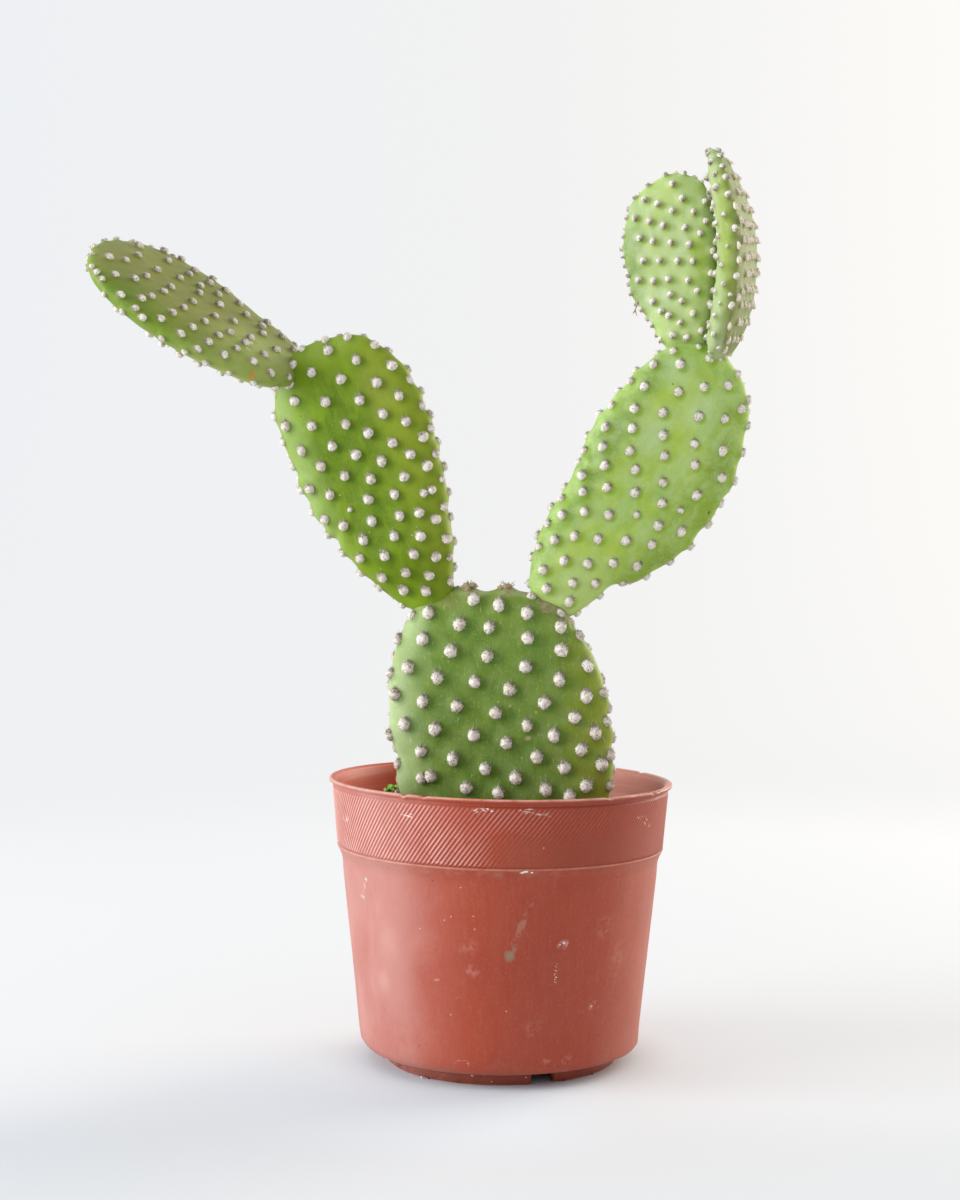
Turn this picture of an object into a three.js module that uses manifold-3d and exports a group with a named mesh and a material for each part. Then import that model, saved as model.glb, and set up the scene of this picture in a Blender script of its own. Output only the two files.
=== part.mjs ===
// Potted paddle cactus: six flat pads standing in a round nursery pot.
// Millimetres, +Z up. The origin is on the pot's axis, on the surface it stands on.
// The front of the pot, where the plant faces, is towards -Y.
import * as THREE from "three";
import { mergeVertices } from "three/addons/utils/BufferGeometryUtils.js";
import Module from "manifold-3d";

// ---------------------------------------------------------------- driving dimensions
const POT_RIM_R = 52.9; // outer radius of the rim lip
const POT_H = 85.9; // height of the rim above the floor
const BAND_TOP_R = 51.75; // ribbed band, outer radius just under the lip
const BAND_BOTTOM_R = 50.05; // ribbed band, outer radius at its lower edge
const BAND_BOTTOM_Z = 65.5;
const STEP_Z = 61.8; // where the plain wall ends under the band
const STEP_R = 48.6;
const WALL_TOP_R = 48.2; // plain wall, outer radius ...
const WALL_TOP_Z = 57.4; // ... at this height, under the step's rounding
const WALL_FOOT_R = 42.8; // plain wall, outer radius just above the bottom corner
const BOTTOM_R = 41.1; // bottom edge
const BOTTOM_Z = 4.4; // height of the bottom edge over the surface
const FOOT_R = 35.2; // foot ring, outer radius
const FOOT_W = 2.7; // foot ring, width
const WALL = 1.3; // wall of the pot
const FLOOR_T = 1.3; // floor of the pot
const BOSS_R = 10; // flat middle of the pot's floor, which rests on the surface
const DRAIN_N = 6; // drain holes in the floor
const DRAIN_R = 3.4;
const DRAIN_PCD = 24;
const NOTCH_W = 7; // drain notches across the foot ring
const NOTCH_AT = [19.5, 139.5, 259.5]; // degrees from the front, towards +X
const RIM_OVAL = 0.018; // the thin rim is slightly oval ...
const RIM_OVAL_AT = 0.63; // ... with its long axis this far from the front, radians
const RIM_DROP_X = -0.0168; // and slightly tilted: rise of the rim per mm along X
const RIM_DROP_Y = -0.0059; // and along Y
const WALL_LEAN = -0.78; // the wall stands this far off the foot ring's axis along X just above the bottom, and less towards the rim
const SOIL_Z = 71.5; // height of the soil at the wall
const SOIL_CROWN = 2.2; // how much higher the soil is in the middle
const GAP = 0.35; // clearance between touching pieces
const POT_SEGMENTS = 64;
const PAD_SEGMENTS = 48; // as many as the outline numbers of a pad

// A pad is a flat, rounded blade. C is the middle of its outline, u its width
// direction, v its length direction, away from where it grew. rho is the outline's
// radius about C in 48 equal steps of angle from u towards v. H is half its
// thickness, p how blunt its rim is, taper how much thicker it is near its joint,
// bend how it curves across and along its length.
const PADS = {
  base_pad: {
    C: [0.41, 0, 105.41], u: [0.9925, -0.1219, 0], v: [0, 0, 1], H: 9, p: 3.6, taper: 0.1, bend: [0.5, 0.8],
    rho: [32.0, 32.9, 32.3, 32.6, 33.0, 33.5, 34.1, 34.9, 36.6, 37.3, 38.2, 38.5, 38.9, 38.3, 40.4, 41.3, 41.3, 41.9, 41.0, 39.8, 38.5, 37.3, 36.5, 35.7,
      35.1, 35.4, 35.0, 35.0, 37.9, 40.6, 44.0, 47.8, 51.4, 54.7, 57.2, 58.9, 60.0, 59.3, 57.3, 54.9, 51.6, 48.1, 44.4, 41.1, 38.8, 36.6, 34.6, 34.2],
  },
  left_pad: {
    C: [-39.87, 3, 180.67], u: [0.9087, -0.2921, 0.2983], v: [-0.3031, 0.03, 0.9525], H: 6.4, p: 4.6, taper: 0.35, bend: [-0.8, 1],
    rho: [22.6, 22.3, 23.5, 24.7, 25.4, 28.4, 30.1, 33.3, 35.7, 38.4, 40.9, 41.9, 42.2, 42.8, 42.9, 41.3, 40.0, 37.6, 35.0, 31.0, 28.5, 26.2, 24.4, 24.6,
      23.5, 22.9, 23.1, 23.8, 23.6, 24.7, 24.4, 27.3, 29.1, 32.2, 35.4, 40.3, 45.1, 49.8, 47.7, 39.8, 34.9, 30.6, 27.1, 25.9, 24.2, 23.0, 22.6, 21.8],
  },
  right_pad: {
    C: [42.85, -1, 178.13], u: [0.8231, 0.2919, -0.4872], v: [0.5194, -0.04, 0.8536], H: 6.2, p: 4.6, taper: 0.35, bend: [0.6, -0.8],
    rho: [26.2, 26.2, 26.4, 28.5, 29.7, 30.7, 33.0, 34.8, 38.5, 41.0, 43.2, 43.9, 44.9, 43.9, 41.9, 38.9, 35.3, 32.1, 28.6, 26.8, 24.7, 24.0, 22.7, 22.1,
      21.4, 21.4, 20.1, 21.6, 22.4, 24.1, 27.4, 31.5, 36.4, 41.8, 47.5, 50.5, 52.2, 44.5, 35.6, 33.2, 32.6, 30.2, 28.9, 27.9, 26.9, 26.8, 25.6, 25.5],
  },
  left_upper_pad: {
    C: [-97.78, 10, 230.34], u: [0.3022, 0.9223, 0.2407], v: [-0.8133, 0.1178, 0.5698], H: 5.4, p: 4.6, taper: 0.3, bend: [0.3, 1],
    rho: [28.8, 29.3, 30.0, 30.8, 31.8, 33.1, 34.0, 34.7, 35.0, 34.8, 34.8, 34.7, 34.5, 34.2, 33.7, 33.5, 33.4, 33.0, 32.5, 31.5, 30.4, 29.3, 28.6, 28.1,
      27.6, 27.5, 27.9, 28.3, 29.2, 30.3, 31.6, 33.2, 35.5, 38.7, 41.1, 41.5, 41.2, 41.1, 41.0, 40.1, 38.4, 36.1, 33.0, 30.2, 29.1, 28.6, 28.1, 28.3],
  },
  upper_left_pad: {
    C: [51.05, 1, 245.25], u: [0.9913, -0.1042, 0.0806], v: [-0.0747, 0.0599, 0.9954], H: 5, p: 4.4, taper: 0.3, bend: [0.4, 0.4],
    rho: [14.9, 15.1, 15.4, 16.0, 17.1, 18.1, 19.7, 22.5, 24.5, 25.4, 25.9, 25.8, 25.0, 23.5, 22.6, 21.4, 20.2, 18.4, 17.1, 16.1, 15.2, 14.6, 14.3, 13.8,
      13.4, 13.2, 13.5, 13.5, 14.4, 15.8, 16.4, 17.2, 18.3, 19.6, 22.5, 26.8, 29.1, 29.6, 29.8, 26.7, 23.0, 20.1, 18.0, 16.6, 16.0, 15.4, 14.8, 14.5],
  },
  upper_right_pad: {
    C: [70.8, -2, 249.75], u: [0.2036, 0.979, -0.0067], v: [-0.0564, 0.0186, 0.9982], H: 5.32, p: 4.2, taper: 0.25, bend: [2.74, -5.69],
    rho: [22.8, 22.9, 23.3, 23.9, 24.6, 25.4, 26.2, 26.9, 27.5, 27.9, 28.1, 28.0, 28.0, 28.0, 28.1, 27.9, 27.5, 26.9, 26.2, 25.4, 24.6, 23.9, 23.3, 22.9,
      22.8, 22.9, 23.3, 24.1, 25.2, 26.6, 28.4, 30.5, 33.3, 35.8, 35.8, 36.0, 36.2, 36.0, 35.8, 35.8, 33.3, 30.5, 28.4, 26.6, 25.2, 24.1, 23.3, 22.9],
  },
};
const PAD_RINGS = [0.5, 0.8, 0.94]; // rings of a pad's mesh between its middle and its rim
// which pieces each pad stops short of
const GROWS_FROM = {
  left_pad: ["base_pad"],
  right_pad: ["base_pad"],
  left_upper_pad: ["left_pad"],
  upper_right_pad: ["right_pad"],
  upper_left_pad: ["right_pad", "upper_right_pad"],
};
const BEND_LENGTH = 30; // the length that the bend numbers are given for

// ---------------------------------------------------------------- helpers
const wasm = await Module();
wasm.setup();

// a closed geometry as a solid that can be cut and joined
function toSolid(geometry) {
  const g = geometry.clone();
  g.deleteAttribute("normal");
  g.deleteAttribute("uv");
  const m = mergeVertices(g, 1e-4);
  const corners = [];
  for (let i = 0; i < m.index.count; i += 3) {
    const [a, b, c] = [m.index.getX(i), m.index.getX(i + 1), m.index.getX(i + 2)];
    if (a !== b && b !== c && c !== a) corners.push(a, b, c); // a turned profile has empty triangles on its axis
  }
  return new wasm.Manifold(new wasm.Mesh({
    numProp: 3,
    vertProperties: new Float32Array(m.attributes.position.array),
    triVerts: new Uint32Array(corners),
  }));
}

function toGeometry(solid) {
  const m = solid.getMesh();
  const g = new THREE.BufferGeometry();
  g.setAttribute("position", new THREE.BufferAttribute(new Float32Array(m.vertProperties), 3));
  g.setIndex(new THREE.BufferAttribute(new Uint32Array(m.triVerts), 1));
  g.computeVertexNormals();
  return g;
}

// a profile of [radius, z] points, from the axis round to the axis, turned about Z
function turned(profile, segments) {
  const g = new THREE.LatheGeometry(profile.map(([r, z]) => new THREE.Vector2(r, z)), segments);
  g.rotateX(Math.PI / 2);
  return g;
}

// the thin upper part of the pot is slightly oval and tilted, more so towards the rim
function warpPoint(x, y, z) {
  const w = Math.pow(Math.max(z, 0) / POT_H, 1.5);
  const angle = Math.atan2(x, -y); // from the front towards +X
  const k = 1 + RIM_OVAL * w * Math.cos(2 * (angle - RIM_OVAL_AT));
  const t = Math.min(Math.max((z - BOTTOM_Z) / 3.6, 0), 1);
  const lean = WALL_LEAN * t * t * (3 - 2 * t) * (1 - (0.42 * z) / POT_H);
  return [x * k + lean, y * k, z + w * (RIM_DROP_X * x + RIM_DROP_Y * y)];
}

function warp(geometry) {
  const p = geometry.attributes.position;
  for (let i = 0; i < p.count; i++) p.setXYZ(i, ...warpPoint(p.getX(i), p.getY(i), p.getZ(i)));
  geometry.computeVertexNormals();
  return geometry;
}

// the closed blade of a pad, optionally grown outwards
function padGeometry(pad, grow = 0) {
  const n = PAD_SEGMENTS;
  const C = new THREE.Vector3(...pad.C);
  const v = new THREE.Vector3(...pad.v).normalize();
  const u = new THREE.Vector3(...pad.u);
  u.addScaledVector(v, -u.dot(v)).normalize();
  const w = new THREE.Vector3().crossVectors(u, v);
  const heights = pad.rho.map((r, i) => r * Math.sin((i * 2 * Math.PI) / n));
  const low = Math.min(...heights);
  const high = Math.max(...heights);
  const point = (i, t, side) => {
    const f = (i * 2 * Math.PI) / n;
    const r = (pad.rho[i] + grow) * t;
    const a = r * Math.cos(f);
    const b = r * Math.sin(f);
    const along = (b - low) / (high - low);
    const half = (pad.H * (1 + pad.taper * (0.5 - along)) + grow) * Math.sqrt(Math.max(1 - Math.pow(t, pad.p), 0));
    const A = a / BEND_LENGTH;
    const B = b / BEND_LENGTH;
    const off = pad.bend[0] * A * A + pad.bend[1] * B * B + side * half;
    return C.clone().addScaledVector(u, a).addScaledVector(v, b).addScaledVector(w, off);
  };
  const points = [];
  const faces = [];
  const add = (p) => points.push(p) - 1;
  const rim = [];
  for (let i = 0; i < n; i++) rim.push(add(point(i, 1, 0)));
  for (const side of [1, -1]) {
    const face = (a, b, c) => faces.push(side > 0 ? [a, b, c] : [a, c, b]);
    const middle = add(point(0, 0, side));
    const rings = PAD_RINGS.map((t) => Array.from({ length: n }, (_, i) => add(point(i, t, side))));
    rings.push(rim);
    for (let i = 0; i < n; i++) {
      const j = (i + 1) % n;
      face(middle, rings[0][i], rings[0][j]);
      for (let k = 0; k + 1 < rings.length; k++) {
        face(rings[k][i], rings[k + 1][i], rings[k + 1][j]);
        face(rings[k][i], rings[k + 1][j], rings[k][j]);
      }
    }
  }
  const g = new THREE.BufferGeometry();
  g.setAttribute("position", new THREE.Float32BufferAttribute(points.flatMap((p) => [p.x, p.y, p.z]), 3));
  g.setIndex(faces.flat());
  g.computeVertexNormals();
  return g;
}

function mesh(name, geometry, colour, roughness) {
  const m = new THREE.Mesh(geometry, new THREE.MeshStandardMaterial({ color: colour, roughness, metalness: 0 }));
  m.name = name;
  return m;
}

// ---------------------------------------------------------------- pot
const potProfile = [
  [0, 0],
  [BOSS_R, 0],
  [BOSS_R + 3, BOTTOM_Z],
  [FOOT_R - FOOT_W - 0.4, BOTTOM_Z],
  [FOOT_R - FOOT_W, 0],
  [FOOT_R, 0],
  [FOOT_R + 0.4, BOTTOM_Z - 0.2],
  [BOTTOM_R, BOTTOM_Z],
  [BOTTOM_R + 1.0, BOTTOM_Z + 0.9],
  [WALL_FOOT_R, BOTTOM_Z + 2.7],
  [WALL_TOP_R, WALL_TOP_Z],
  [STEP_R, STEP_Z],
  [STEP_R + 0.9, STEP_Z + 1.3],
  [BAND_BOTTOM_R, BAND_BOTTOM_Z],
  [BAND_TOP_R, POT_H - 1.5],
  [POT_RIM_R - 0.2, POT_H - 1.1],
  [POT_RIM_R, POT_H - 0.5],
  [POT_RIM_R - 0.35, POT_H],
  [POT_RIM_R - 1.7, POT_H],
  [BAND_TOP_R - WALL, POT_H - 1.0],
  [BAND_BOTTOM_R - WALL - 0.1, BAND_BOTTOM_Z + 0.4],
  [STEP_R - WALL, STEP_Z],
  [WALL_FOOT_R - WALL, BOTTOM_Z + 3.0],
  [BOTTOM_R - WALL, BOTTOM_Z + FLOOR_T],
  [BOSS_R + 2.6, BOTTOM_Z + FLOOR_T],
  [BOSS_R - 0.8, FLOOR_T],
  [0, FLOOR_T],
];
let pot = toSolid(turned(potProfile, POT_SEGMENTS));
for (let i = 0; i < DRAIN_N; i++) {
  const f = ((i + 0.5) * 2 * Math.PI) / DRAIN_N;
  const hole = new THREE.CylinderGeometry(DRAIN_R, DRAIN_R, 8, 16);
  hole.rotateX(Math.PI / 2);
  hole.translate(DRAIN_PCD * Math.sin(f), -DRAIN_PCD * Math.cos(f), BOTTOM_Z + 0.6);
  pot = pot.subtract(toSolid(hole));
}
for (const degrees of NOTCH_AT) {
  const f = (degrees * Math.PI) / 180;
  const notch = new THREE.BoxGeometry(NOTCH_W, FOOT_W + 6, BOTTOM_Z - 0.4 + 2);
  notch.translate(0, -(FOOT_R - FOOT_W / 2), (BOTTOM_Z - 0.4 - 2) / 2);
  notch.rotateZ(f);
  pot = pot.subtract(toSolid(notch));
}
const potGeometry = warp(toGeometry(pot));

// ---------------------------------------------------------------- pads
const group = new THREE.Group();
group.add(mesh("pot", potGeometry, 0xb0523e, 0.62));

const PAD_COLOURS = {
  base_pad: 0x5c8a3c,
  left_pad: 0x6f9a26,
  right_pad: 0x8fb454,
  left_upper_pad: 0x7b8f45,
  upper_left_pad: 0x9fbf66,
  upper_right_pad: 0x8aad4b,
};
const basePad = toSolid(padGeometry(PADS.base_pad));
group.add(mesh("base_pad", toGeometry(basePad), PAD_COLOURS.base_pad, 0.6));
for (const [name, others] of Object.entries(GROWS_FROM)) {
  let pad = toSolid(padGeometry(PADS[name]));
  for (const other of others) pad = pad.subtract(toSolid(padGeometry(PADS[other], GAP)));
  group.add(mesh(name, toGeometry(pad), PAD_COLOURS[name], 0.6));
}

// ---------------------------------------------------------------- root crown
// the woody stump under the base pad, with three thick roots spreading from it
const rootTop = PADS.base_pad.C[2] - 60 + 4; // it reaches a little up around the pad's foot
const crownProfile = [
  [0, 18],
  [2.2, 18.6],
  [4.2, 24],
  [6.4, 33],
  [8.2, 41],
  [8.6, rootTop],
  [0, rootTop + 0.01],
];
let roots = toSolid(turned(crownProfile, 16));
const ROOTS = [
  [[0, 0, 36], [-14, 4, 30], [-24, 9, 19], [-29, 10, 12]],
  [[0, 0, 34], [12, 8, 28], [20, 17, 18], [24, 22, 11]],
  [[0, 0, 31], [7, -11, 25], [13, -21, 17], [15, -28, 11]],
];
for (const path of ROOTS) {
  const curve = new THREE.CatmullRomCurve3(path.map((p) => new THREE.Vector3(...p)));
  const section = new THREE.Shape();
  section.absarc(0, 0, 1.9, 0, 2 * Math.PI, false);
  const g = new THREE.ExtrudeGeometry(section, { steps: 10, extrudePath: curve, curveSegments: 4, bevelEnabled: false });
  roots = roots.add(toSolid(g));
}
const padGrown = toSolid(padGeometry(PADS.base_pad, GAP));
roots = roots.subtract(padGrown);
group.add(mesh("root_crown", toGeometry(roots), 0x6b5138, 0.9));

// ---------------------------------------------------------------- potting soil
// it fills the pot, follows the floor's low middle, and leaves room for pad and roots
const soilProfile = [
  [0, FLOOR_T + GAP],
  [BOSS_R - 1.3, FLOOR_T + GAP],
  [BOSS_R + 2.2, BOTTOM_Z + FLOOR_T + GAP],
  [BOTTOM_R - WALL - 0.9, BOTTOM_Z + FLOOR_T + GAP],
  [WALL_FOOT_R - WALL - GAP - 0.2, BOTTOM_Z + 3.6],
  [STEP_R - WALL - GAP - 0.1, STEP_Z],
  [BAND_BOTTOM_R - WALL - GAP - 0.2, BAND_BOTTOM_Z + 0.7],
  [BAND_BOTTOM_R - WALL - GAP + 0.25, SOIL_Z],
  [38, SOIL_Z + 0.7 * SOIL_CROWN],
  [20, SOIL_Z + SOIL_CROWN],
  [0, SOIL_Z + SOIL_CROWN + 0.2],
];
let soil = toSolid(warp(turned(soilProfile, POT_SEGMENTS)));
soil = soil.subtract(padGrown);
// the same roots a little thicker, so the soil keeps clear of them
const grownProfile = [
  [0, 18 - GAP],
  [2.4 + GAP, 18.4 - GAP],
  [4.3 + GAP, 23.9],
  [6.5 + GAP, 33],
  [8.3 + GAP, 41],
  [8.7 + GAP, rootTop + GAP],
  [0, rootTop + GAP],
];
soil = soil.subtract(toSolid(turned(grownProfile, 16)));
for (const path of ROOTS) {
  const points = path.map((p) => new THREE.Vector3(...p));
  const end = points[3].clone().sub(points[2]).normalize();
  points[3].addScaledVector(end, GAP);
  const section = new THREE.Shape();
  section.absarc(0, 0, 1.9 + GAP + 0.1, 0, 2 * Math.PI, false);
  const g = new THREE.ExtrudeGeometry(section, { steps: 10, extrudePath: new THREE.CatmullRomCurve3(points), curveSegments: 4, bevelEnabled: false });
  soil = soil.subtract(toSolid(g));
}

// ---------------------------------------------------------------- seedling
// a small weed seedling at the left, with three blunt leaves on a short stem
const SEEDLING = { x: -37.2, y: -8, z: SOIL_Z + 2.2 };
const leafParts = [];
const stem = new THREE.CylinderGeometry(0.65, 0.9, 13, 10);
stem.rotateX(Math.PI / 2);
stem.translate(0, 0, 2.5);
leafParts.push(toSolid(stem));
const LEAVES = [
  [-4.0, -1.6, 9.8, 3.2, 2.3],
  [3.7, -1.2, 10.9, 3.1, 2.2],
  [-0.6, 3.7, 9.4, 3.0, 2.1],
];
for (const [x, y, z, a, b] of LEAVES) {
  const leaf = new THREE.SphereGeometry(1, 12, 8);
  leaf.scale(a, b, 0.75);
  leaf.rotateZ(Math.atan2(y, x));
  leaf.translate(x, y, z);
  leafParts.push(toSolid(leaf));
  const curve = new THREE.CatmullRomCurve3([new THREE.Vector3(0, 0, 6), new THREE.Vector3(x * 0.3, y * 0.3, z * 0.85), new THREE.Vector3(x * 0.75, y * 0.75, z)]);
  const section = new THREE.Shape();
  section.absarc(0, 0, 0.55, 0, 2 * Math.PI, false);
  leafParts.push(toSolid(new THREE.ExtrudeGeometry(section, { steps: 5, extrudePath: curve, curveSegments: 2, bevelEnabled: false })));
}
let seedling = leafParts.reduce((a, b) => a.add(b));
seedling = seedling.translate([SEEDLING.x, SEEDLING.y, SEEDLING.z]);
const socket = new THREE.CylinderGeometry(1.35, 1.35, 9, 12);
socket.rotateX(Math.PI / 2);
socket.translate(SEEDLING.x, SEEDLING.y, SEEDLING.z - 4 - GAP + 4.5);
soil = soil.subtract(toSolid(socket));
group.add(mesh("potting_soil", toGeometry(soil), 0x3b2c22, 0.95));
group.add(mesh("seedling", toGeometry(seedling), 0x5f9a35, 0.6));

export default group;
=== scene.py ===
import math

import bpy
import numpy as np
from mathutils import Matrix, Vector


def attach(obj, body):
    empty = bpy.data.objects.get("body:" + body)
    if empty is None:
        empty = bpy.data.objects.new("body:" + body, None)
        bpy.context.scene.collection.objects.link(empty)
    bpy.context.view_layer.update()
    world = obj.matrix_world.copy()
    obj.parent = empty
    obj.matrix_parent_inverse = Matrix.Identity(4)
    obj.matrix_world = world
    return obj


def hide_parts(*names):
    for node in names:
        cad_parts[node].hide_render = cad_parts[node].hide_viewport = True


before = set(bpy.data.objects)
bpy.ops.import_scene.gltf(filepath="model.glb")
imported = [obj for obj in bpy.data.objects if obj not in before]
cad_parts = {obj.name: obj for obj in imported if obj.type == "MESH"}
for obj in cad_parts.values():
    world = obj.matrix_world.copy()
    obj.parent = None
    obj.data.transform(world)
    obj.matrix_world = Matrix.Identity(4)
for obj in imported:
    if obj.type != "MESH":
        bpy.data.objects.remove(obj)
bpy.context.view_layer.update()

# Potted paddle cactus. Lengths in this file are in millimetres until a mesh is made.
MM = 0.001
TAU = 2 * math.pi
bpy.context.scene.unit_settings.system = "METRIC"


# ================================================================ small helpers
def smooth(a, b, x):
    t = np.clip((np.asarray(x, float) - a) / (b - a), 0, 1)
    return t * t * (3 - 2 * t)


def unit(v):
    v = np.asarray(v, float)
    return v / np.maximum(np.linalg.norm(v, axis=-1, keepdims=True), 1e-12)


def lattice(ix, iy, iz, seed):
    n = (ix * 374761393 + iy * 668265263 + iz * 2147483647 + seed * 974634777) & 0xFFFFFFFF
    n = ((n ^ (n >> 13)) * 1274126177) & 0xFFFFFFFF
    n = ((n ^ (n >> 16)) * 2246822519) & 0xFFFFFFFF
    return ((n ^ (n >> 15)) & 0xFFFFFF) / 8388607.5 - 1


def noise(P, cell, seed=0):
    """Smooth value noise from -1 to 1 at points P."""
    q = np.asarray(P, float) / cell
    i = np.floor(q).astype(np.int64)
    f = q - i
    f = f * f * (3 - 2 * f)
    out = 0
    for dx in (0, 1):
        for dy in (0, 1):
            for dz in (0, 1):
                w = (f[..., 0] if dx else 1 - f[..., 0]) * (f[..., 1] if dy else 1 - f[..., 1]) * (f[..., 2] if dz else 1 - f[..., 2])
                out = out + w * lattice(i[..., 0] + dx, i[..., 1] + dy, i[..., 2] + dz, seed)
    return out


def fbm(P, cell, octaves=3, seed=0):
    out, amp = 0, 1.0
    for k in range(octaves):
        out = out + amp * noise(P, cell / 2**k, seed + 17 * k)
        amp *= 0.5
    return out / (2 - 2 ** (1 - octaves))


def make(name, verts, faces, mats, face_mats=None, uvs=None, attrs=None, flat=False):
    """A mesh object from millimetre vertices. faces, face_mats and uvs are lists of arrays, one for each block of faces with the same number of corners."""
    V = np.asarray(verts, float) * MM
    me = bpy.data.meshes.new(name)
    me.vertices.add(len(V))
    me.vertices.foreach_set("co", V.astype(np.float32).ravel())
    loops = np.concatenate([np.asarray(f).ravel() for f in faces]).astype(np.int32)
    counts = np.concatenate([np.full(len(f), np.asarray(f).shape[1]) for f in faces])
    starts = np.concatenate([[0], np.cumsum(counts)[:-1]]).astype(np.int32)
    me.loops.add(len(loops))
    me.loops.foreach_set("vertex_index", loops)
    me.polygons.add(len(starts))
    me.polygons.foreach_set("loop_start", starts)
    for m in mats:
        me.materials.append(m)
    if face_mats is not None:
        me.polygons.foreach_set("material_index", np.concatenate(face_mats).astype(np.int32))
    me.update(calc_edges=True)
    if uvs is not None:
        layer = me.uv_layers.new(name="OFBake", do_init=False)
        layer.uv.foreach_set("vector", np.concatenate([np.asarray(u, np.float32).reshape(-1, 2) for u in uvs]).ravel())
    for key, values in (attrs or {}).items():
        values = np.asarray(values, np.float32)
        if values.ndim == 1:
            me.attributes.new(key, "FLOAT", "POINT").data.foreach_set("value", values)
        else:
            me.attributes.new(key, "FLOAT_VECTOR", "POINT").data.foreach_set("vector", values.ravel())
    me.polygons.foreach_set("use_smooth", np.full(len(starts), not flat))
    me.validate()
    ob = bpy.data.objects.new(name, me)
    bpy.context.scene.collection.objects.link(ob)
    return ob


# ================================================================ node helpers
class Nodes:
    """A short way to write a material's nodes."""

    def __init__(self, name):
        self.mat = bpy.data.materials.new(name)
        self.mat.use_nodes = True
        self.nt = self.mat.node_tree
        self.bsdf = self.nt.nodes["Principled BSDF"]
        self.coords = self.nt.nodes.new("ShaderNodeTexCoord").outputs["Object"]

    def link(self, value, socket):
        if hasattr(value, "is_output"):
            self.nt.links.new(value, socket)
        else:
            socket.default_value = value

    def set(self, **values):
        for key, value in values.items():
            self.link(value, self.bsdf.inputs[key.replace("_", " ")])

    def attr(self, name, vector=False):
        n = self.nt.nodes.new("ShaderNodeAttribute")
        n.attribute_name = name
        return n.outputs["Vector" if vector else "Fac"]

    def noise(self, scale, detail=3.0, rough=0.55, vector=None, distort=0.0, color=False):
        n = self.nt.nodes.new("ShaderNodeTexNoise")
        self.link(vector if vector is not None else self.coords, n.inputs["Vector"])
        n.inputs["Scale"].default_value = scale
        n.inputs["Detail"].default_value = detail
        n.inputs["Roughness"].default_value = rough
        n.inputs["Distortion"].default_value = distort
        return n.outputs["Color" if color else "Fac"]

    def voronoi(self, scale, vector=None, feature="F1", out="Distance", randomness=1.0):
        n = self.nt.nodes.new("ShaderNodeTexVoronoi")
        n.feature = feature
        self.link(vector if vector is not None else self.coords, n.inputs["Vector"])
        n.inputs["Scale"].default_value = scale
        n.inputs["Randomness"].default_value = randomness
        return n.outputs[out]

    def ramp(self, value, a, b, lo=0.0, hi=1.0, soft=True):
        n = self.nt.nodes.new("ShaderNodeMapRange")
        n.interpolation_type = "SMOOTHSTEP" if soft else "LINEAR"
        self.link(value, n.inputs["Value"])
        for key, v in (("From Min", a), ("From Max", b), ("To Min", lo), ("To Max", hi)):
            n.inputs[key].default_value = v
        return n.outputs["Result"]

    def math(self, op, a, b=0.0, clamp=False):
        n = self.nt.nodes.new("ShaderNodeMath")
        n.operation = op
        n.use_clamp = clamp
        self.link(a, n.inputs[0])
        self.link(b, n.inputs[1])
        return n.outputs[0]

    def mul(self, *values):
        out = values[0]
        for v in values[1:]:
            out = self.math("MULTIPLY", out, v)
        return out

    def add(self, *values):
        out = values[0]
        for v in values[1:]:
            out = self.math("ADD", out, v)
        return out

    def vmath(self, op, a, b=(0, 0, 0)):
        n = self.nt.nodes.new("ShaderNodeVectorMath")
        n.operation = op
        self.link(a, n.inputs[0])
        if op not in ("LENGTH",):
            self.link(b, n.inputs[1])
        return n.outputs["Value" if op in ("LENGTH", "DISTANCE", "DOT_PRODUCT") else "Vector"]

    def mapped(self, vector, loc=(0, 0, 0), turn=0.0, size=(1, 1, 1)):
        n = self.nt.nodes.new("ShaderNodeMapping")
        n.vector_type = "TEXTURE"
        self.link(vector, n.inputs["Vector"])
        n.inputs["Location"].default_value = loc
        n.inputs["Rotation"].default_value = (0, 0, turn)
        n.inputs["Scale"].default_value = size
        return n.outputs["Vector"]

    def mix(self, fac, a, b, mode="MIX"):
        n = self.nt.nodes.new("ShaderNodeMix")
        n.data_type = "RGBA"
        n.blend_type = mode
        n.clamp_factor = True
        self.link(fac, n.inputs["Factor"])
        self.link(a if hasattr(a, "is_output") else rgba(a), n.inputs["A"])
        self.link(b if hasattr(b, "is_output") else rgba(b), n.inputs["B"])
        return n.outputs["Result"]

    def bump(self, height, strength, distance, normal=None):
        n = self.nt.nodes.new("ShaderNodeBump")
        self.link(height, n.inputs["Height"])
        n.inputs["Strength"].default_value = strength
        n.inputs["Distance"].default_value = distance
        if normal is not None:
            self.link(normal, n.inputs["Normal"])
        return n.outputs["Normal"]


def lin(c):
    """A hex colour as linear numbers."""
    c = np.array([(c >> 16) & 255, (c >> 8) & 255, c & 255]) / 255
    return tuple(float(x) for x in np.where(c <= 0.04045, c / 12.92, ((c + 0.055) / 1.055) ** 2.4))


def rgba(c):
    if isinstance(c, int):
        c = lin(c)
    return (*c[:3], 1.0)


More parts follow.
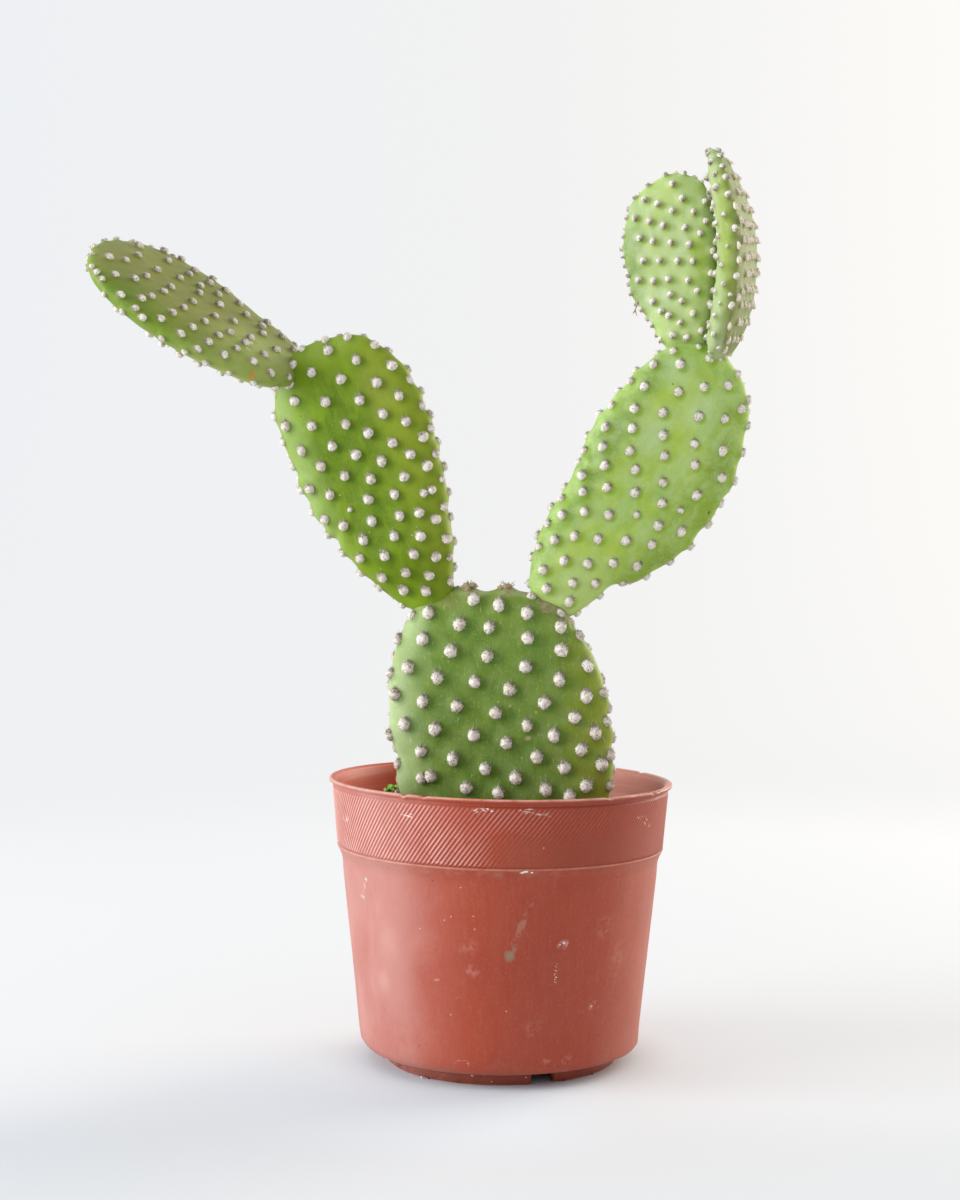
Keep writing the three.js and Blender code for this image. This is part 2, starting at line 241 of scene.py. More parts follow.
# ================================================================ the pads' shape
BEND_LENGTH = 30.0
PADS = {
    "base_pad": dict(
        C=[0.41, 0, 105.41], u=[0.9925, -0.1219, 0], v=[0, 0, 1], H=9, p=3.6, taper=0.1, bend=[0.5, 0.8],
        rho=[32.0, 32.9, 32.3, 32.6, 33.0, 33.5, 34.1, 34.9, 36.6, 37.3, 38.2, 38.5, 38.9, 38.3, 40.4, 41.3, 41.3, 41.9, 41.0, 39.8, 38.5, 37.3, 36.5, 35.7,
             35.1, 35.4, 35.0, 35.0, 37.9, 40.6, 44.0, 47.8, 51.4, 54.7, 57.2, 58.9, 60.0, 59.3, 57.3, 54.9, 51.6, 48.1, 44.4, 41.1, 38.8, 36.6, 34.6, 34.2]),
    "left_pad": dict(
        C=[-39.87, 3, 180.67], u=[0.9087, -0.2921, 0.2983], v=[-0.3031, 0.03, 0.9525], H=6.4, p=4.6, taper=0.35, bend=[-0.8, 1],
        rho=[22.6, 22.3, 23.5, 24.7, 25.4, 28.4, 30.1, 33.3, 35.7, 38.4, 40.9, 41.9, 42.2, 42.8, 42.9, 41.3, 40.0, 37.6, 35.0, 31.0, 28.5, 26.2, 24.4, 24.6,
             23.5, 22.9, 23.1, 23.8, 23.6, 24.7, 24.4, 27.3, 29.1, 32.2, 35.4, 40.3, 45.1, 49.8, 47.7, 39.8, 34.9, 30.6, 27.1, 25.9, 24.2, 23.0, 22.6, 21.8]),
    "right_pad": dict(
        C=[42.85, -1, 178.13], u=[0.8231, 0.2919, -0.4872], v=[0.5194, -0.04, 0.8536], H=6.2, p=4.6, taper=0.35, bend=[0.6, -0.8],
        rho=[26.2, 26.2, 26.4, 28.5, 29.7, 30.7, 33.0, 34.8, 38.5, 41.0, 43.2, 43.9, 44.9, 43.9, 41.9, 38.9, 35.3, 32.1, 28.6, 26.8, 24.7, 24.0, 22.7, 22.1,
             21.4, 21.4, 20.1, 21.6, 22.4, 24.1, 27.4, 31.5, 36.4, 41.8, 47.5, 50.5, 52.2, 44.5, 35.6, 33.2, 32.6, 30.2, 28.9, 27.9, 26.9, 26.8, 25.6, 25.5]),
    "left_upper_pad": dict(
        C=[-97.78, 10, 230.34], u=[0.3022, 0.9223, 0.2407], v=[-0.8133, 0.1178, 0.5698], H=5.4, p=4.6, taper=0.3, bend=[0.3, 1],
        rho=[28.8, 29.3, 30.0, 30.8, 31.8, 33.1, 34.0, 34.7, 35.0, 34.8, 34.8, 34.7, 34.5, 34.2, 33.7, 33.5, 33.4, 33.0, 32.5, 31.5, 30.4, 29.3, 28.6, 28.1,
             27.6, 27.5, 27.9, 28.3, 29.2, 30.3, 31.6, 33.2, 35.5, 38.7, 41.1, 41.5, 41.2, 41.1, 41.0, 40.1, 38.4, 36.1, 33.0, 30.2, 29.1, 28.6, 28.1, 28.3]),
    "upper_left_pad": dict(
        C=[51.05, 1, 245.25], u=[0.9913, -0.1042, 0.0806], v=[-0.0747, 0.0599, 0.9954], H=5, p=4.4, taper=0.3, bend=[0.4, 0.4],
        rho=[14.9, 15.1, 15.4, 16.0, 17.1, 18.1, 19.7, 22.5, 24.5, 25.4, 25.9, 25.8, 25.0, 23.5, 22.6, 21.4, 20.2, 18.4, 17.1, 16.1, 15.2, 14.6, 14.3, 13.8,
             13.4, 13.2, 13.5, 13.5, 14.4, 15.8, 16.4, 17.2, 18.3, 19.6, 22.5, 26.8, 29.1, 29.6, 29.8, 26.7, 23.0, 20.1, 18.0, 16.6, 16.0, 15.4, 14.8, 14.5]),
    "upper_right_pad": dict(
        C=[70.8, -2, 249.75], u=[0.2468, 0.969, -0.0067], v=[-0.0564, 0.0186, 0.9982], H=4.5, p=4.2, taper=0.25, bend=[2.74, -5.69],
        rho=[22.8, 22.9, 23.3, 23.9, 24.6, 25.4, 26.2, 26.9, 27.5, 27.9, 28.1, 28.0, 28.0, 28.0, 28.1, 27.9, 27.5, 26.9, 26.2, 25.4, 24.6, 23.9, 23.3, 22.9,
             22.8, 22.9, 23.3, 24.1, 25.2, 26.6, 28.4, 30.5, 33.3, 35.8, 35.8, 36.0, 36.2, 36.0, 35.8, 35.8, 33.3, 30.5, 28.4, 26.6, 25.2, 24.1, 23.3, 22.9]),
}


# how far back the lowest part of a pad leans: from and to this distance along it, and by how much
FOOT = {"left_pad": (-25.0, -42.0, 5.2), "right_pad": (-34.0, -48.0, -2.6)}


class Pad:
    """A flat rounded blade: its outline radius about C in 48 equal steps of angle from u towards v, the same numbers as the solid."""

    def __init__(self, name, C, u, v, H, p, taper, bend, rho):
        self.name, self.C, self.v = name, np.array(C, float), unit(v)
        u = np.array(u, float)
        self.u = unit(u - (u @ self.v) * self.v)
        self.n = np.cross(self.u, self.v)
        self.H, self.p, self.taper, self.bend, self.rho = H, p, taper, bend, np.array(rho, float)
        self.foot = FOOT.get(name, (-30, -40, 0.0))
        f = np.linspace(0, TAU, 361)
        b = self.R(f) * np.sin(f)
        self.low, self.high = b.min(), b.max()
        # how far from the middle a share of the way over the face lies, so that mesh rows are evenly spaced
        t = 1 - (1 - np.linspace(0, 1, 2001)) ** 2
        r, h = 0.5 * (self.rho.mean() + self.rho.min()) * t, H * np.sqrt(1 - t**p)
        s = np.concatenate([[0], np.cumsum(np.hypot(np.diff(r), np.diff(h)))])
        self.share, self.at = s / s[-1], t

    def R(self, f):
        k = len(self.rho)
        x = (np.asarray(f, float) / TAU * k) % k
        i = np.floor(x).astype(int)
        f, r = x - i, self.rho
        a, b, c, d = r[(i - 1) % k], r[i % k], r[(i + 1) % k], r[(i + 2) % k]
        return 0.5 * (2 * b + (c - a) * f + (2 * a - 5 * b + 4 * c - d) * f**2 + (3 * b - a - 3 * c + d) * f**3)

    def T(self, a, b):
        return np.hypot(a, b) / self.R(np.arctan2(b, a))

    def half(self, b, t):
        along = (b - self.low) / (self.high - self.low)
        return self.H * (1 + self.taper * (0.5 - along)) * np.sqrt(np.clip(1 - np.clip(t, 0, 1) ** self.p, 0, 1))

    def off(self, a, b):
        return self.bend[0] * (a / BEND_LENGTH) ** 2 + self.bend[1] * (b / BEND_LENGTH) ** 2

    def at_ab(self, a, b, t, side):
        d = self.off(a, b) + side * self.half(b, t)
        back = self.foot[2] * smooth(self.foot[0], self.foot[1], b)
        return self.C + np.multiply.outer(a, self.u) + np.multiply.outer(b, self.v) + np.multiply.outer(d, self.n) + np.multiply.outer(back, [0.0, 1.0, 0.0])

    def point(self, f, t, side):
        r = self.R(f) * t
        return self.at_ab(r * np.cos(f), r * np.sin(f), t, side)

    def frame(self, f, t, side):
        """Point, outward normal and direction towards the tip, at angle f and share t on a face, or on the rim's middle if side is 0."""
        if side == 0:
            e = 0.01
            q = self.point(np.array([f - e, f + e]), np.ones(2), 0)
            N = unit(np.cross(q[1] - q[0], self.n))
            P = self.point(np.array([f]), np.ones(1), 0)[0]
        else:
            t = min(t, 0.9995)
            r = self.R(f) * t
            a, b, e = r * np.cos(f), r * np.sin(f), 0.05
            g = lambda a, b: self.at_ab(np.array([a]), np.array([b]), np.array([min(self.T(a, b), 0.9999)]), side)[0]
            P = g(a, b)
            N = unit(np.cross(g(a + e, b) - g(a - e, b), g(a, b + e) - g(a, b - e))) * side
        T = self.v - (self.v @ N) * N
        if np.linalg.norm(T) < 0.15:
            T = T + 0.3 * (self.u - (self.u @ N) * N)
        return P, N, unit(T)

    def inside(self, P, grow=0.0):
        q = np.asarray(P, float) - self.C
        q = q - np.multiply.outer(self.foot[2] * smooth(self.foot[0], self.foot[1], q @ self.v), [0.0, 1.0, 0.0])
        a, b, c = q @ self.u, q @ self.v, q @ self.n
        R = self.R(np.arctan2(b, a)) + grow
        t = np.hypot(a, b) / R
        return (t < 1) & (np.abs(c - self.off(a, b)) < self.half(b, t) + grow)


pads = {k: Pad(k, **d) for k, d in PADS.items()}
PARENT = {"left_pad": "base_pad", "right_pad": "base_pad", "left_upper_pad": "left_pad", "upper_left_pad": "right_pad", "upper_right_pad": "right_pad"}

# Tufts that can be seen from the front: (across, along) from a pad's middle, and for some a third number, their size.
SEEN = {
    "base_pad": [(-8.4, 35.2), (-0.4, 33.7), (-22, 31.1), (8.1, 31.4), (-12.3, 27.9), (17.9, 27.2), (-3.2, 27.1), (8.5, 23.9), (-23.6, 23.3), (18.4, 20.2), (-14.8, 19.8),
                 (-3.7, 18.5), (26.1, 15.4), (7.9, 15.5), (-28.1, 14.8), (-19, 11.8), (18, 11.6), (-7.5, 10.7), (3.1, 8.5), (-32.4, 6.4), (25.9, 6.4), (-23.5, 4.6), (13.6, 4.5),
                 (-13, 3.1), (-1.1, 1.2), (22.6, 0.1), (-29.2, -2.5), (8.4, -2.4), (-19.7, -3.9), (28.7, -4.5), (-7.8, -5.5), (16.5, -5.4), (2.1, -7.8), (24.6, -9.6), (-24.1, -10.9),
                 (11.4, -12), (-14.2, -12.8), (30.4, -14.3), (19.6, -15.1), (-4.3, -15.7), (5, -18.3), (26, -20.5), (14.1, -21.8), (-10.1, -21.6), (-0.3, -23), (21.1, -23.8),
                 (-24.0, -19.0, 0.86), (-21.1, -18.3, 0.92)],
    "left_pad": [(0.2, 38.2), (8, 32.5), (-12.1, 37.6), (17.4, 27.4), (-6.8, 33.5), (1.8, 28.5), (-14.6, 32.7), (12, 24), (17.1, 18.1), (5.4, 20.8), (-14.9, 27.1), (-5.2, 23.6),
                 (11.1, 14.4), (16.9, 10), (-1.1, 15.1), (-20.5, 20.9), (-11.9, 18.1), (4.9, 10.3), (20, 4.1), (11.3, 5.1), (-7.5, 10.1), (-17.7, 12), (-0.9, 5.2), (15.3, 0.1),
                 (6.3, 0.8), (18.7, -4.9), (-13, 5.5), (-6.5, 0.3), (11.6, -5.8), (1.3, -3.2), (-19.1, 0.2), (15.6, -12.3, 0.85), (17.9, -12.2, 0.85), (-13, -3.7), (7.1, -9.9), (-1.4, -8.8),
                 (-8.2, -9.9, 0.5), (12.6, -17.6), (6.6, -16.7), (-17.5, -10.1), (16.3, -20.9), (-2.4, -15.5), (-11.7, -14.1), (3.1, -21.9), (10.9, -24.5), (17, -27.3), (-6.8, -20),
                 (7.4, -28.8), (-1.6, -26.6), (13.1, -31.4), (-9.9, -24.9), (3.3, -33.3), (9.8, -36.3), (-4.7, -32.4), (0.7, -38.1), (7.3, -40.7)],
    "right_pad": [(-2.3, 41), (-9.8, 34.7), (-16.4, 30.4), (7, 37.2), (-16.1, 23.4), (0, 32.9), (-6.4, 27.4), (-15.5, 16.3), (14.6, 33.4), (-7.5, 19.7), (3.1, 24.5), (11, 28.1),
                  (-19.9, 7.1), (-13.2, 10.8), (-3.8, 14), (6.4, 16.8), (-17.8, 1.6), (-10.3, 4.7), (15.6, 19.7), (0, 8.9), (10, 11.5), (-14.5, -2.8), (-5.8, 0.7), (-18.1, -8.9),
                  (19.9, 12.6), (4, 1.9), (-10.5, -8.2), (-15.7, -13.1), (-2.1, -5.1), (15.6, 4), (7.2, -3.6), (13.8, -2.4, 0.75), (-12.4, -17.9), (-17.1, -22.3), (-5.5, -14.9),
                  (2.2, -10.6, 0.75), (10, -10), (17.6, -7.7), (-11, -25.7), (-15.1, -29.8), (-4.3, -22.9), (3.6, -19), (11.5, -15.9), (-9.5, -33.6), (4, -26.7), (-2.8, -31),
                  (11.5, -23.6), (-12.7, -39.6), (-3.3, -38.3), (2.7, -34.9), (-8.8, -43.8), (-0.9, -43.8), (-5.7, -48.5)],
    "left_upper_pad": [(0.6, 21.8), (-12.9, 24.8), (-8.4, 21.4), (11.6, 16.2), (-0.5, 13.9), (-22.6, 22.4), (-20.6, 17.9), (12, 8.4), (-10, 12.7), (4.7, 8), (-16.8, 13.3), (-5.8, 5.7),
                       (-12.4, 4.8), (3.4, -0.2), (-26.1, 11.2), (-20.2, 4.9), (-23.8, 6), (-5.8, -2.6), (4.3, -7.4), (-14.2, -3.7), (-20.9, -3.5), (-6, -10.9), (10.1, -14.7),
                       (-27.6, 1.7), (-25.5, -2.8), (-13.9, -11.4), (-1.2, -15.5), (-20.9, -11.2), (-10.4, -18.9), (4, -23.9), (-25.1, -10.2), (-16.1, -17.9), (-5.1, -23.9),
                       (-21.4, -17.7), (-10.5, -24.6), (-24.4, -16.7), (-15.8, -24.6), (-0.7, -31.5), (-20.4, -23.4), (-9.3, -31.1), (-15, -30.8), (-12.7, -36.5)],
    "upper_left_pad": [(2.7, 21.5), (5.4, 16.7), (-5.9, 17.5), (11.9, 15.3), (-2.1, 15.8), (2.1, 13.2), (8.3, 12.3), (-9.1, 12.2), (-5, 10.7), (11.8, 9.3), (-1, 9), (5.4, 7.8),
                       (9.9, 5.6), (-8.2, 5.9), (-4.4, 4.5), (0.9, 3.6), (6.4, 2.5), (13, 0.1), (-7.7, -1.1), (-2.9, -1.6), (2.5, -2.2), (7.1, -2.7), (12, -6.5), (-0.7, -7.4),
                       (-9.4, -6.8), (5.2, -8.4), (-5.1, -7.6), (7.7, -11.8), (-0.4, -12.2), (2.8, -14.4), (-5.8, -13.6), (10.9, -15.7), (-3.4, -16.9), (6, -18.5), (-1.3, -18.4),
                       (1.9, -20.9), (7.8, -23.7), (-0.5, -24.3), (3.5, -25.2)],
    "upper_right_pad": [(-19.7, 15.8), (-21.7, 10.8), (-21.3, 7.3), (-19.8, 3.4), (-22.4, 0.6), (-21.5, -4.2), (-15.3, -6.9), (-21.1, -8.4), (-20.9, -13), (-17.6, -18.7), (-19.0, -21.1),
                        (-16, -26.7), (-7.5, -32.8)],
}
SEEN_BACK = {
    "upper_right_pad": [(-19.7, 13.5), (-17, 9), (-22.2, 4.9), (-18.5, 3.4), (-19.5, -0.7), (-20.9, -9.6), (-21.0, -15.1), (-17.8, -16.8), (-17.6, -23.7), (-14.8, -26.6), (-16.2, -29.0)],
}
# mean spacing of the tufts, their half width, how much longer than wide they are, where their darker side
# points (radians from the tip, leftwards; brown bristles set towards each pad's shaded side, partly painted shade), and
# how much of them it covers
SPACING = {"base_pad": 8.6, "left_pad": 7.2, "right_pad": 7.4, "left_upper_pad": 6.6, "upper_left_pad": 5.2, "upper_right_pad": 5.0}
TUFT_R = {"base_pad": 1.9, "left_pad": 1.6, "right_pad": 1.45, "left_upper_pad": 1.12, "upper_left_pad": 1.08, "upper_right_pad": 1.12}
LONG = {"base_pad": 1.2, "left_pad": 1.08, "right_pad": 1.2, "left_upper_pad": 1.32, "upper_left_pad": 1.18, "upper_right_pad": 1.2}
DARK_AT = {"base_pad": -0.4, "left_pad": 0.35, "right_pad": -0.3, "left_upper_pad": 0.7, "upper_left_pad": 3.7, "upper_right_pad": 3.6}
DARK = {"base_pad": (0.3, 0.98, 0.62), "left_pad": (0.05, 0.7, 0.46), "right_pad": (0.38, 0.95, 0.64), "left_upper_pad": (0.25, 0.9, 0.72), "upper_left_pad": (0.55, 0.95, 0.62), "upper_right_pad": (0.55, 0.95, 0.6)}
SOIL_LINE = 72.0


def in_another(name, P, grow):
    return any(other.inside(P, grow) for k, other in pads.items() if k != name)


def tufts_of(name):
    """Every tuft of a pad as (point, normal, tipward, size)."""
    pad, s = pads[name], SPACING[name]
    rng = np.random.default_rng(sum(map(ord, name)))
    made = []

    def put(f, t, side, size, grow=0.2, rim=False):
        P, N, T = pad.frame(f, t, side)
        if P[2] < SOIL_LINE or in_another(name, P + 0.8 * N, grow):
            return False
        made.append((P, N, T, size, rim))
        return True

    def near(P):
        return min((np.linalg.norm(P - q[0]) for q in made), default=99)

    for side, seen in ((1, SEEN[name]), (-1, SEEN_BACK.get(name, []))):
        for a, b, *size in seen:
            t = min(float(pad.T(a, b)), 0.995)
            put(math.atan2(b, a), t, side, (size[0] if size else 1.0) * rng.uniform(0.94, 1.06), -0.5)
    # the rim, in two rows a little to each side of its middle
    f = np.linspace(0, TAU, 1441)
    q = pad.point(f, np.ones(1441), 0)
    run = np.concatenate([[0], np.cumsum(np.linalg.norm(np.diff(q, axis=0), axis=1))])
    tight = 0.57
    count = 2 * int(round(run[-1] / (tight * s) / 2))
    for i in range(count):
        g = float(np.interp((i + 0.5 + rng.uniform(-0.14, 0.14)) / count * run[-1], run, f))
        side, t = (1 if i % 2 else -1), rng.uniform(0.975, 0.992)
        P = pad.frame(g, t, side)[0]
        if name == "base_pad" and P[2] > 139 and -13.0 < P[0] < 7.5:
            continue
        if name == "upper_right_pad" and P[2] < 262 and P[1] < -8 and near(P) < 2.7:
            continue
        if near(P) > (tight - 0.1) * s:
            put(g, t, side, rng.uniform(0.6, 0.72) if name == "upper_right_pad" and P[2] < 262 else rng.uniform(0.78, 0.92), rim=True)
    # both faces, filling what is still bare
    for side in (1, -1):
        tries = []
        shift = rng.uniform(0, s, 2)
        for i in range(-14, 15):
            for j in range(-16, 17):
                a = (i + 0.5 * (j % 2)) * s * (1.35 if name == "upper_right_pad" else 1.02) + shift[0] - s / 2
                b = j * s * (0.97 if name == "upper_right_pad" else 0.9) + shift[1] - s / 2 + 0.12 * a
                tries.append((a + rng.uniform(-0.09, 0.09) * s, b + rng.uniform(-0.09, 0.09) * s))
        for a, b in tries:
            t = float(pad.T(a, b))
            if t < 0.95:
                P = pad.frame(math.atan2(b, a), t, side)[0]
                if near(P) > (0.86 if side > 0 and name != "upper_right_pad" else 0.72) * s:
                    put(math.atan2(b, a), t, side, rng.uniform(0.9, 1.06))
    return made


# ================================================================ pad skins
def disc_grid(n):
    """Points of a square grid laid on a disc: angle, share of the radius, and the square's own coordinates."""
    x, y = np.meshgrid(np.linspace(-1, 1, n + 1), np.linspace(-1, 1, n + 1), indexing="ij")
    x, y = x.ravel(), y.ravel()
    wide = np.abs(x) > np.abs(y)
    r = np.where(wide, x, y)
    safe = np.where(r == 0, 1, r)
    f = np.where(wide, (math.pi / 4) * y / safe, math.pi / 2 - (math.pi / 4) * x / safe)
    f = np.where(r < 0, f + math.pi, f)
    return f, np.abs(r), x, y


def vertex_normals(V, Q):
    a, b, c, d = (V[Q[:, i]] for i in range(4))
    fn = np.cross(c - a, d - b)
    N = np.zeros_like(V)
    for i in range(4):
        np.add.at(N, Q[:, i], fn)
    return unit(N)


def skin(name, tufts, mat, n):
    pad = pads[name]
    f, r, x, y = disc_grid(n)
    t = np.interp(r, pad.share, pad.at)
    rim = r > 1 - 1e-9
    t[rim] = 1.0
    front = pad.point(f, t, 1)
    back = pad.point(f, t, -1)
    m = (n + 1) ** 2
    index_back = np.full(m, -1)
    inner = np.nonzero(~rim)[0]
    index_back[inner] = m + np.arange(len(inner))
    index_back[rim] = np.nonzero(rim)[0]
    V = np.vstack([front, back[inner]])
    V[:m][rim] = pad.point(f[rim], t[rim], 0)
    i, j = np.meshgrid(np.arange(n), np.arange(n), indexing="ij")
    a = (i * (n + 1) + j).ravel()
    quad = np.stack([a, a + n + 1, a + n + 2, a + 1], 1)
    Q = np.vstack([quad, index_back[quad[:, ::-1]]])
    # the square's x runs along u and its y along v, so the front's faces turn towards n
    uv = np.stack([x, y], 1) * 0.5 + 0.5
    uv_front = uv[quad] * [0.48, 0.98] + [0.01, 0.01]
    uv_back = uv[quad[:, ::-1]] * [0.48, 0.98] + [0.51, 0.01]
    N = vertex_normals(V, Q)
    flip = np.sign((N[:m][~rim] * pad.n).sum(1).mean())
    if flip < 0:
        Q, N = Q[:, ::-1], -N
        uv_front, uv_back = uv_front[:, ::-1], uv_back[:, ::-1]
    T = np.concatenate([t, t[inner]])
    F = np.concatenate([f, f[inner]])
    side = np.concatenate([np.where(rim, 0, 1), np.full(len(inner), -1)]).astype(float)
    # the skin rises a little under each tuft and is faintly uneven between them
    C = np.array([p[0] for p in tufts])
    size = np.array([p[3] for p in tufts]) * TUFT_R[name]
    d = np.full(len(V), 99.0)
    lift, painted_tuft_shadow, painted_tuft_highlight = np.zeros(len(V)), np.zeros(len(V)), np.zeros(len(V))
    for (c, normal, *_), s in zip(tufts, size):
        e = np.linalg.norm(V - c, axis=1)
        # painted shade to the lower right of each tuft and painted highlight to its upper left, in one fixed direction
        # for every pad
        w = np.array([0.85, 0.0, -0.5]) - (np.array([0.85, 0.0, -0.5]) @ normal) * normal
        painted_tuft_shadow = np.maximum(painted_tuft_shadow, np.exp(-((np.linalg.norm(V - c - 1.05 * s * w, axis=1) / (1.45 * s)) ** 2)))
        painted_tuft_highlight = np.maximum(painted_tuft_highlight, np.exp(-((np.linalg.norm(V - c + 1.3 * s * w, axis=1) / (1.5 * s)) ** 2)))
        lift = np.maximum(lift, MOUND[name] * s * np.exp(-((e / (1.35 * s)) ** 2)))
        d = np.minimum(d, e / s)
    lift += 0.22 * fbm(V, 15, 2, 3) + 0.06 * fbm(V, 3.5, 2, 5)
    cork = np.zeros(len(V))
    for child, parent in PARENT.items():
        if name not in (child, parent):
            continue
        kid = pads[child]
        # where the child's foot meets its parent
        f0 = math.atan2(kid.low, 0)
        foot = kid.point(np.array([-math.pi / 2]), np.array([0.9]), 0)[0]
        e = np.linalg.norm(V - foot, axis=1)
        if name == parent:
            lift += 0.9 * np.exp(-((e / 7.5) ** 2))
        w = {"right_pad": 9.5, "left_pad": 5.0}.get(child, 4.5)
        cork = np.maximum(cork, np.exp(-((e / w) ** 2)) * (1.0 if name == parent else 0.5))
    if name == "base_pad":
        for c, w, h in (([-10.3, -1.0, 144.6], 2.4, 0.8), ([2.2, -2.0, 143.9], 3.6, 0.5), ([9.0, -3.0, 142.0], 3.4, 0.1), ([14.0, -5.2, 139.6], 4.6, 0.35), ([19.0, -5.0, 137.0], 3.4, 0.2)):
            e = np.linalg.norm(V - np.array(c), axis=1)
            cork = np.maximum(cork, np.exp(-((e / w) ** 2)))
            lift += h * np.exp(-((e / w) ** 2)) * (1 + 0.5 * noise(V, 1.1, 9))
        cork = np.maximum(cork, smooth(84, 68, V[:, 2]) * 0.35)
    lift += cork * 0.22 * fbm(V, 1.6, 2, 21)
    V = V + N * lift[:, None]
    along = np.clip((V - pad.C) @ pad.v / (pad.high - pad.low) + 0.5, 0, 1)
    attrs = dict(
        edge=smooth(0.55, 1.0, T),
        along=along,
        tuft=np.exp(-((d / 1.7) ** 2)),
        painted_tuft_shadow=painted_tuft_shadow,
        painted_tuft_highlight=painted_tuft_highlight,
        cork=cork,
        face=0.5 + 0.5 * side * (1 - smooth(0.9, 1.0, T)),
        flow=np.stack([(V - pad.C) @ pad.u, (V - pad.C) @ pad.v, (V - pad.C) @ pad.n], 1),
    )
    return make(name + "_skin", V, [Q], [mat], uvs=[np.concatenate([uv_front, uv_back])], attrs=attrs)


MOUND = {"base_pad": 0.24, "left_pad": 0.24, "right_pad": 0.32, "left_upper_pad": 0.42, "upper_left_pad": 0.5, "upper_right_pad": 0.5}


# ================================================================ tufts
def tuft_shape(seed, count):
    """One cushion of short bristles, 1 in half width, growing along +Z. Returned with it: how far each point lies
    towards +Y, and how brown its own bristle is, with painted shade darker at each bristle's root.
    """
    rng = np.random.default_rng(seed)
    rings, seg, mid = 8, 16, 0.3
    p2, p3, p4 = rng.uniform(0, TAU, 3)

    def lumpy(th, az):
        """No cushion is quite round."""
        return 1 + math.sin(th) * (0.05 * math.cos(2 * az + p2) + 0.045 * math.cos(3 * az + p3)) + 0.05 * math.sin(th) * math.cos(5 * az + p4) * math.sin(2.3 * th)

    V, F, lean, fleck_and_root_shade, uv = [], [], [], [], []

    def cell_uv(theta, az):
        r = 0.47 * theta / 2.3
        return 0.5 + r * np.cos(az), 0.5 + r * np.sin(az)

    def add(p, out, brown, th, az):
        V.append(list(p))
        lean.append(float(out))
        fleck_and_root_shade.append(float(brown))
        uv.append(cell_uv(th, az))

    def dusk(out):
        """The closely packed lower part is clean and pale, the upper one shows more of the brown bristles."""
        return float(smooth(-0.3, 0.7, out))

    # the close packed bundle itself, finely lumpy
    add([0, 0, mid + 0.95], 0.0, 0.1, 0, 0)
    for i in range(1, rings + 1):
        th = 2.15 * i / rings
        for j in range(seg):
            az = TAU * (j + 0.5 * (i % 2)) / seg
            k = 0.88 * (1 + rng.uniform(-0.06, 0.06)) * lumpy(th, az)
            out = math.sin(th) * math.sin(az)
            add([k * math.sin(th) * math.cos(az), k * out, mid + 1.02 * k * math.cos(th)], out, rng.uniform(0.0, 0.12) + 0.3 * dusk(out), th, az)
    for j in range(seg):
        F.append((0, 1 + j, 1 + (j + 1) % seg))
    for i in range(1, rings):
        for j in range(seg):
            a, b = 1 + (i - 1) * seg + j, 1 + (i - 1) * seg + (j + 1) % seg
            c, d = 1 + i * seg + j, 1 + i * seg + (j + 1) % seg
            F += [(a, c, b), (b, c, d)] if i % 2 else [(a, d, b), (a, c, d)]
    # bristle ends standing just out of the bundle
    for k in range(count):
        c = 1 - (k + 0.5) / count * (1 - math.cos(2.0))
        th, az = math.acos(c) + rng.normal(0, 0.05), 2.399963 * k + rng.uniform(-0.25, 0.25)
        out = np.array([math.sin(th) * math.cos(az), math.sin(th) * math.sin(az), math.cos(th)])
        up = dusk(out[1])
        base = np.array([0, 0, mid]) + out * [0.78, 0.78, 0.8] * lumpy(th, az)
        aim = unit(out + np.array([0, 0.1 + 0.35 * up, 0.3]) + rng.normal(0, 0.14, 3))
        length = rng.uniform(0.2, 0.32) + up * rng.uniform(0.02, 0.18)
        thick = rng.uniform(0.11, 0.165) * (1 - 0.3 * up)
        own = rng.uniform()
        brown = rng.uniform(0, 0.2) if own < 0.84 - 0.36 * up else rng.uniform(0.45, 1.0)
        x = unit(np.cross(aim, [0.3, 0.9, 0.1]))
        y = np.cross(aim, x)
        at = len(V)
        # each bristle's root is browner than its tip: the bristle's own brown, and painted shade in the gaps between
        # the bristles
        for m in range(4):
            g = TAU * m / 4 + k
            add(base + thick * (math.cos(g) * x + math.sin(g) * y), out[1], min(brown + 0.16 + 0.28 * up, 1), th + 0.05 * math.cos(g), az + 0.05 * math.sin(g))
        add(base + aim * length, out[1], brown * 0.9, th, az)
        for m in range(4):
            F.append((at + m, at + (m + 1) % 4, at + 4))
    # longer, darker bristles on one side, and a few fine pale hairs
    for k in range(30):
        az = math.pi / 2 + rng.normal(0, 0.6)
        th = rng.uniform(0.6, 1.45)
        out = np.array([math.sin(th) * math.cos(az), math.sin(th) * math.sin(az), math.cos(th)])
        base = np.array([0, 0, mid]) + out * 0.82
        aim = unit(out + rng.normal(0, 0.22, 3) + [0, 0.25, 0.2])
        length = rng.uniform(0.26, 0.42) if k > 8 else rng.uniform(0.55, 0.95)
        thick = 0.07 if k > 8 else 0.042
        x = unit(np.cross(aim, [0.9, 0.1, 0.3]))
        y = np.cross(aim, x)
        at = len(V)
        tip = 0.9 if k % 3 else 0.25
        for m in range(3):
            g = TAU * m / 3
            add(base + thick * (math.cos(g) * x + math.sin(g) * y), 1.0 if k % 3 else 0.4, tip, 2.22, az + 0.03 * m)
        add(base + aim * length, 1.0 if k % 3 else 0.4, 0.7 * tip, 2.28, az + 0.03)
        F += [(at, at + 1, at + 3), (at + 1, at + 2, at + 3), (at + 2, at, at + 3)]
    return np.array(V), np.array(F), np.array(lean), np.array(fleck_and_root_shade), np.array(uv)


FULL = [tuft_shape(100 + k, 104) for k in range(8)]
SMALL = [tuft_shape(200 + k, 66) for k in range(6)]


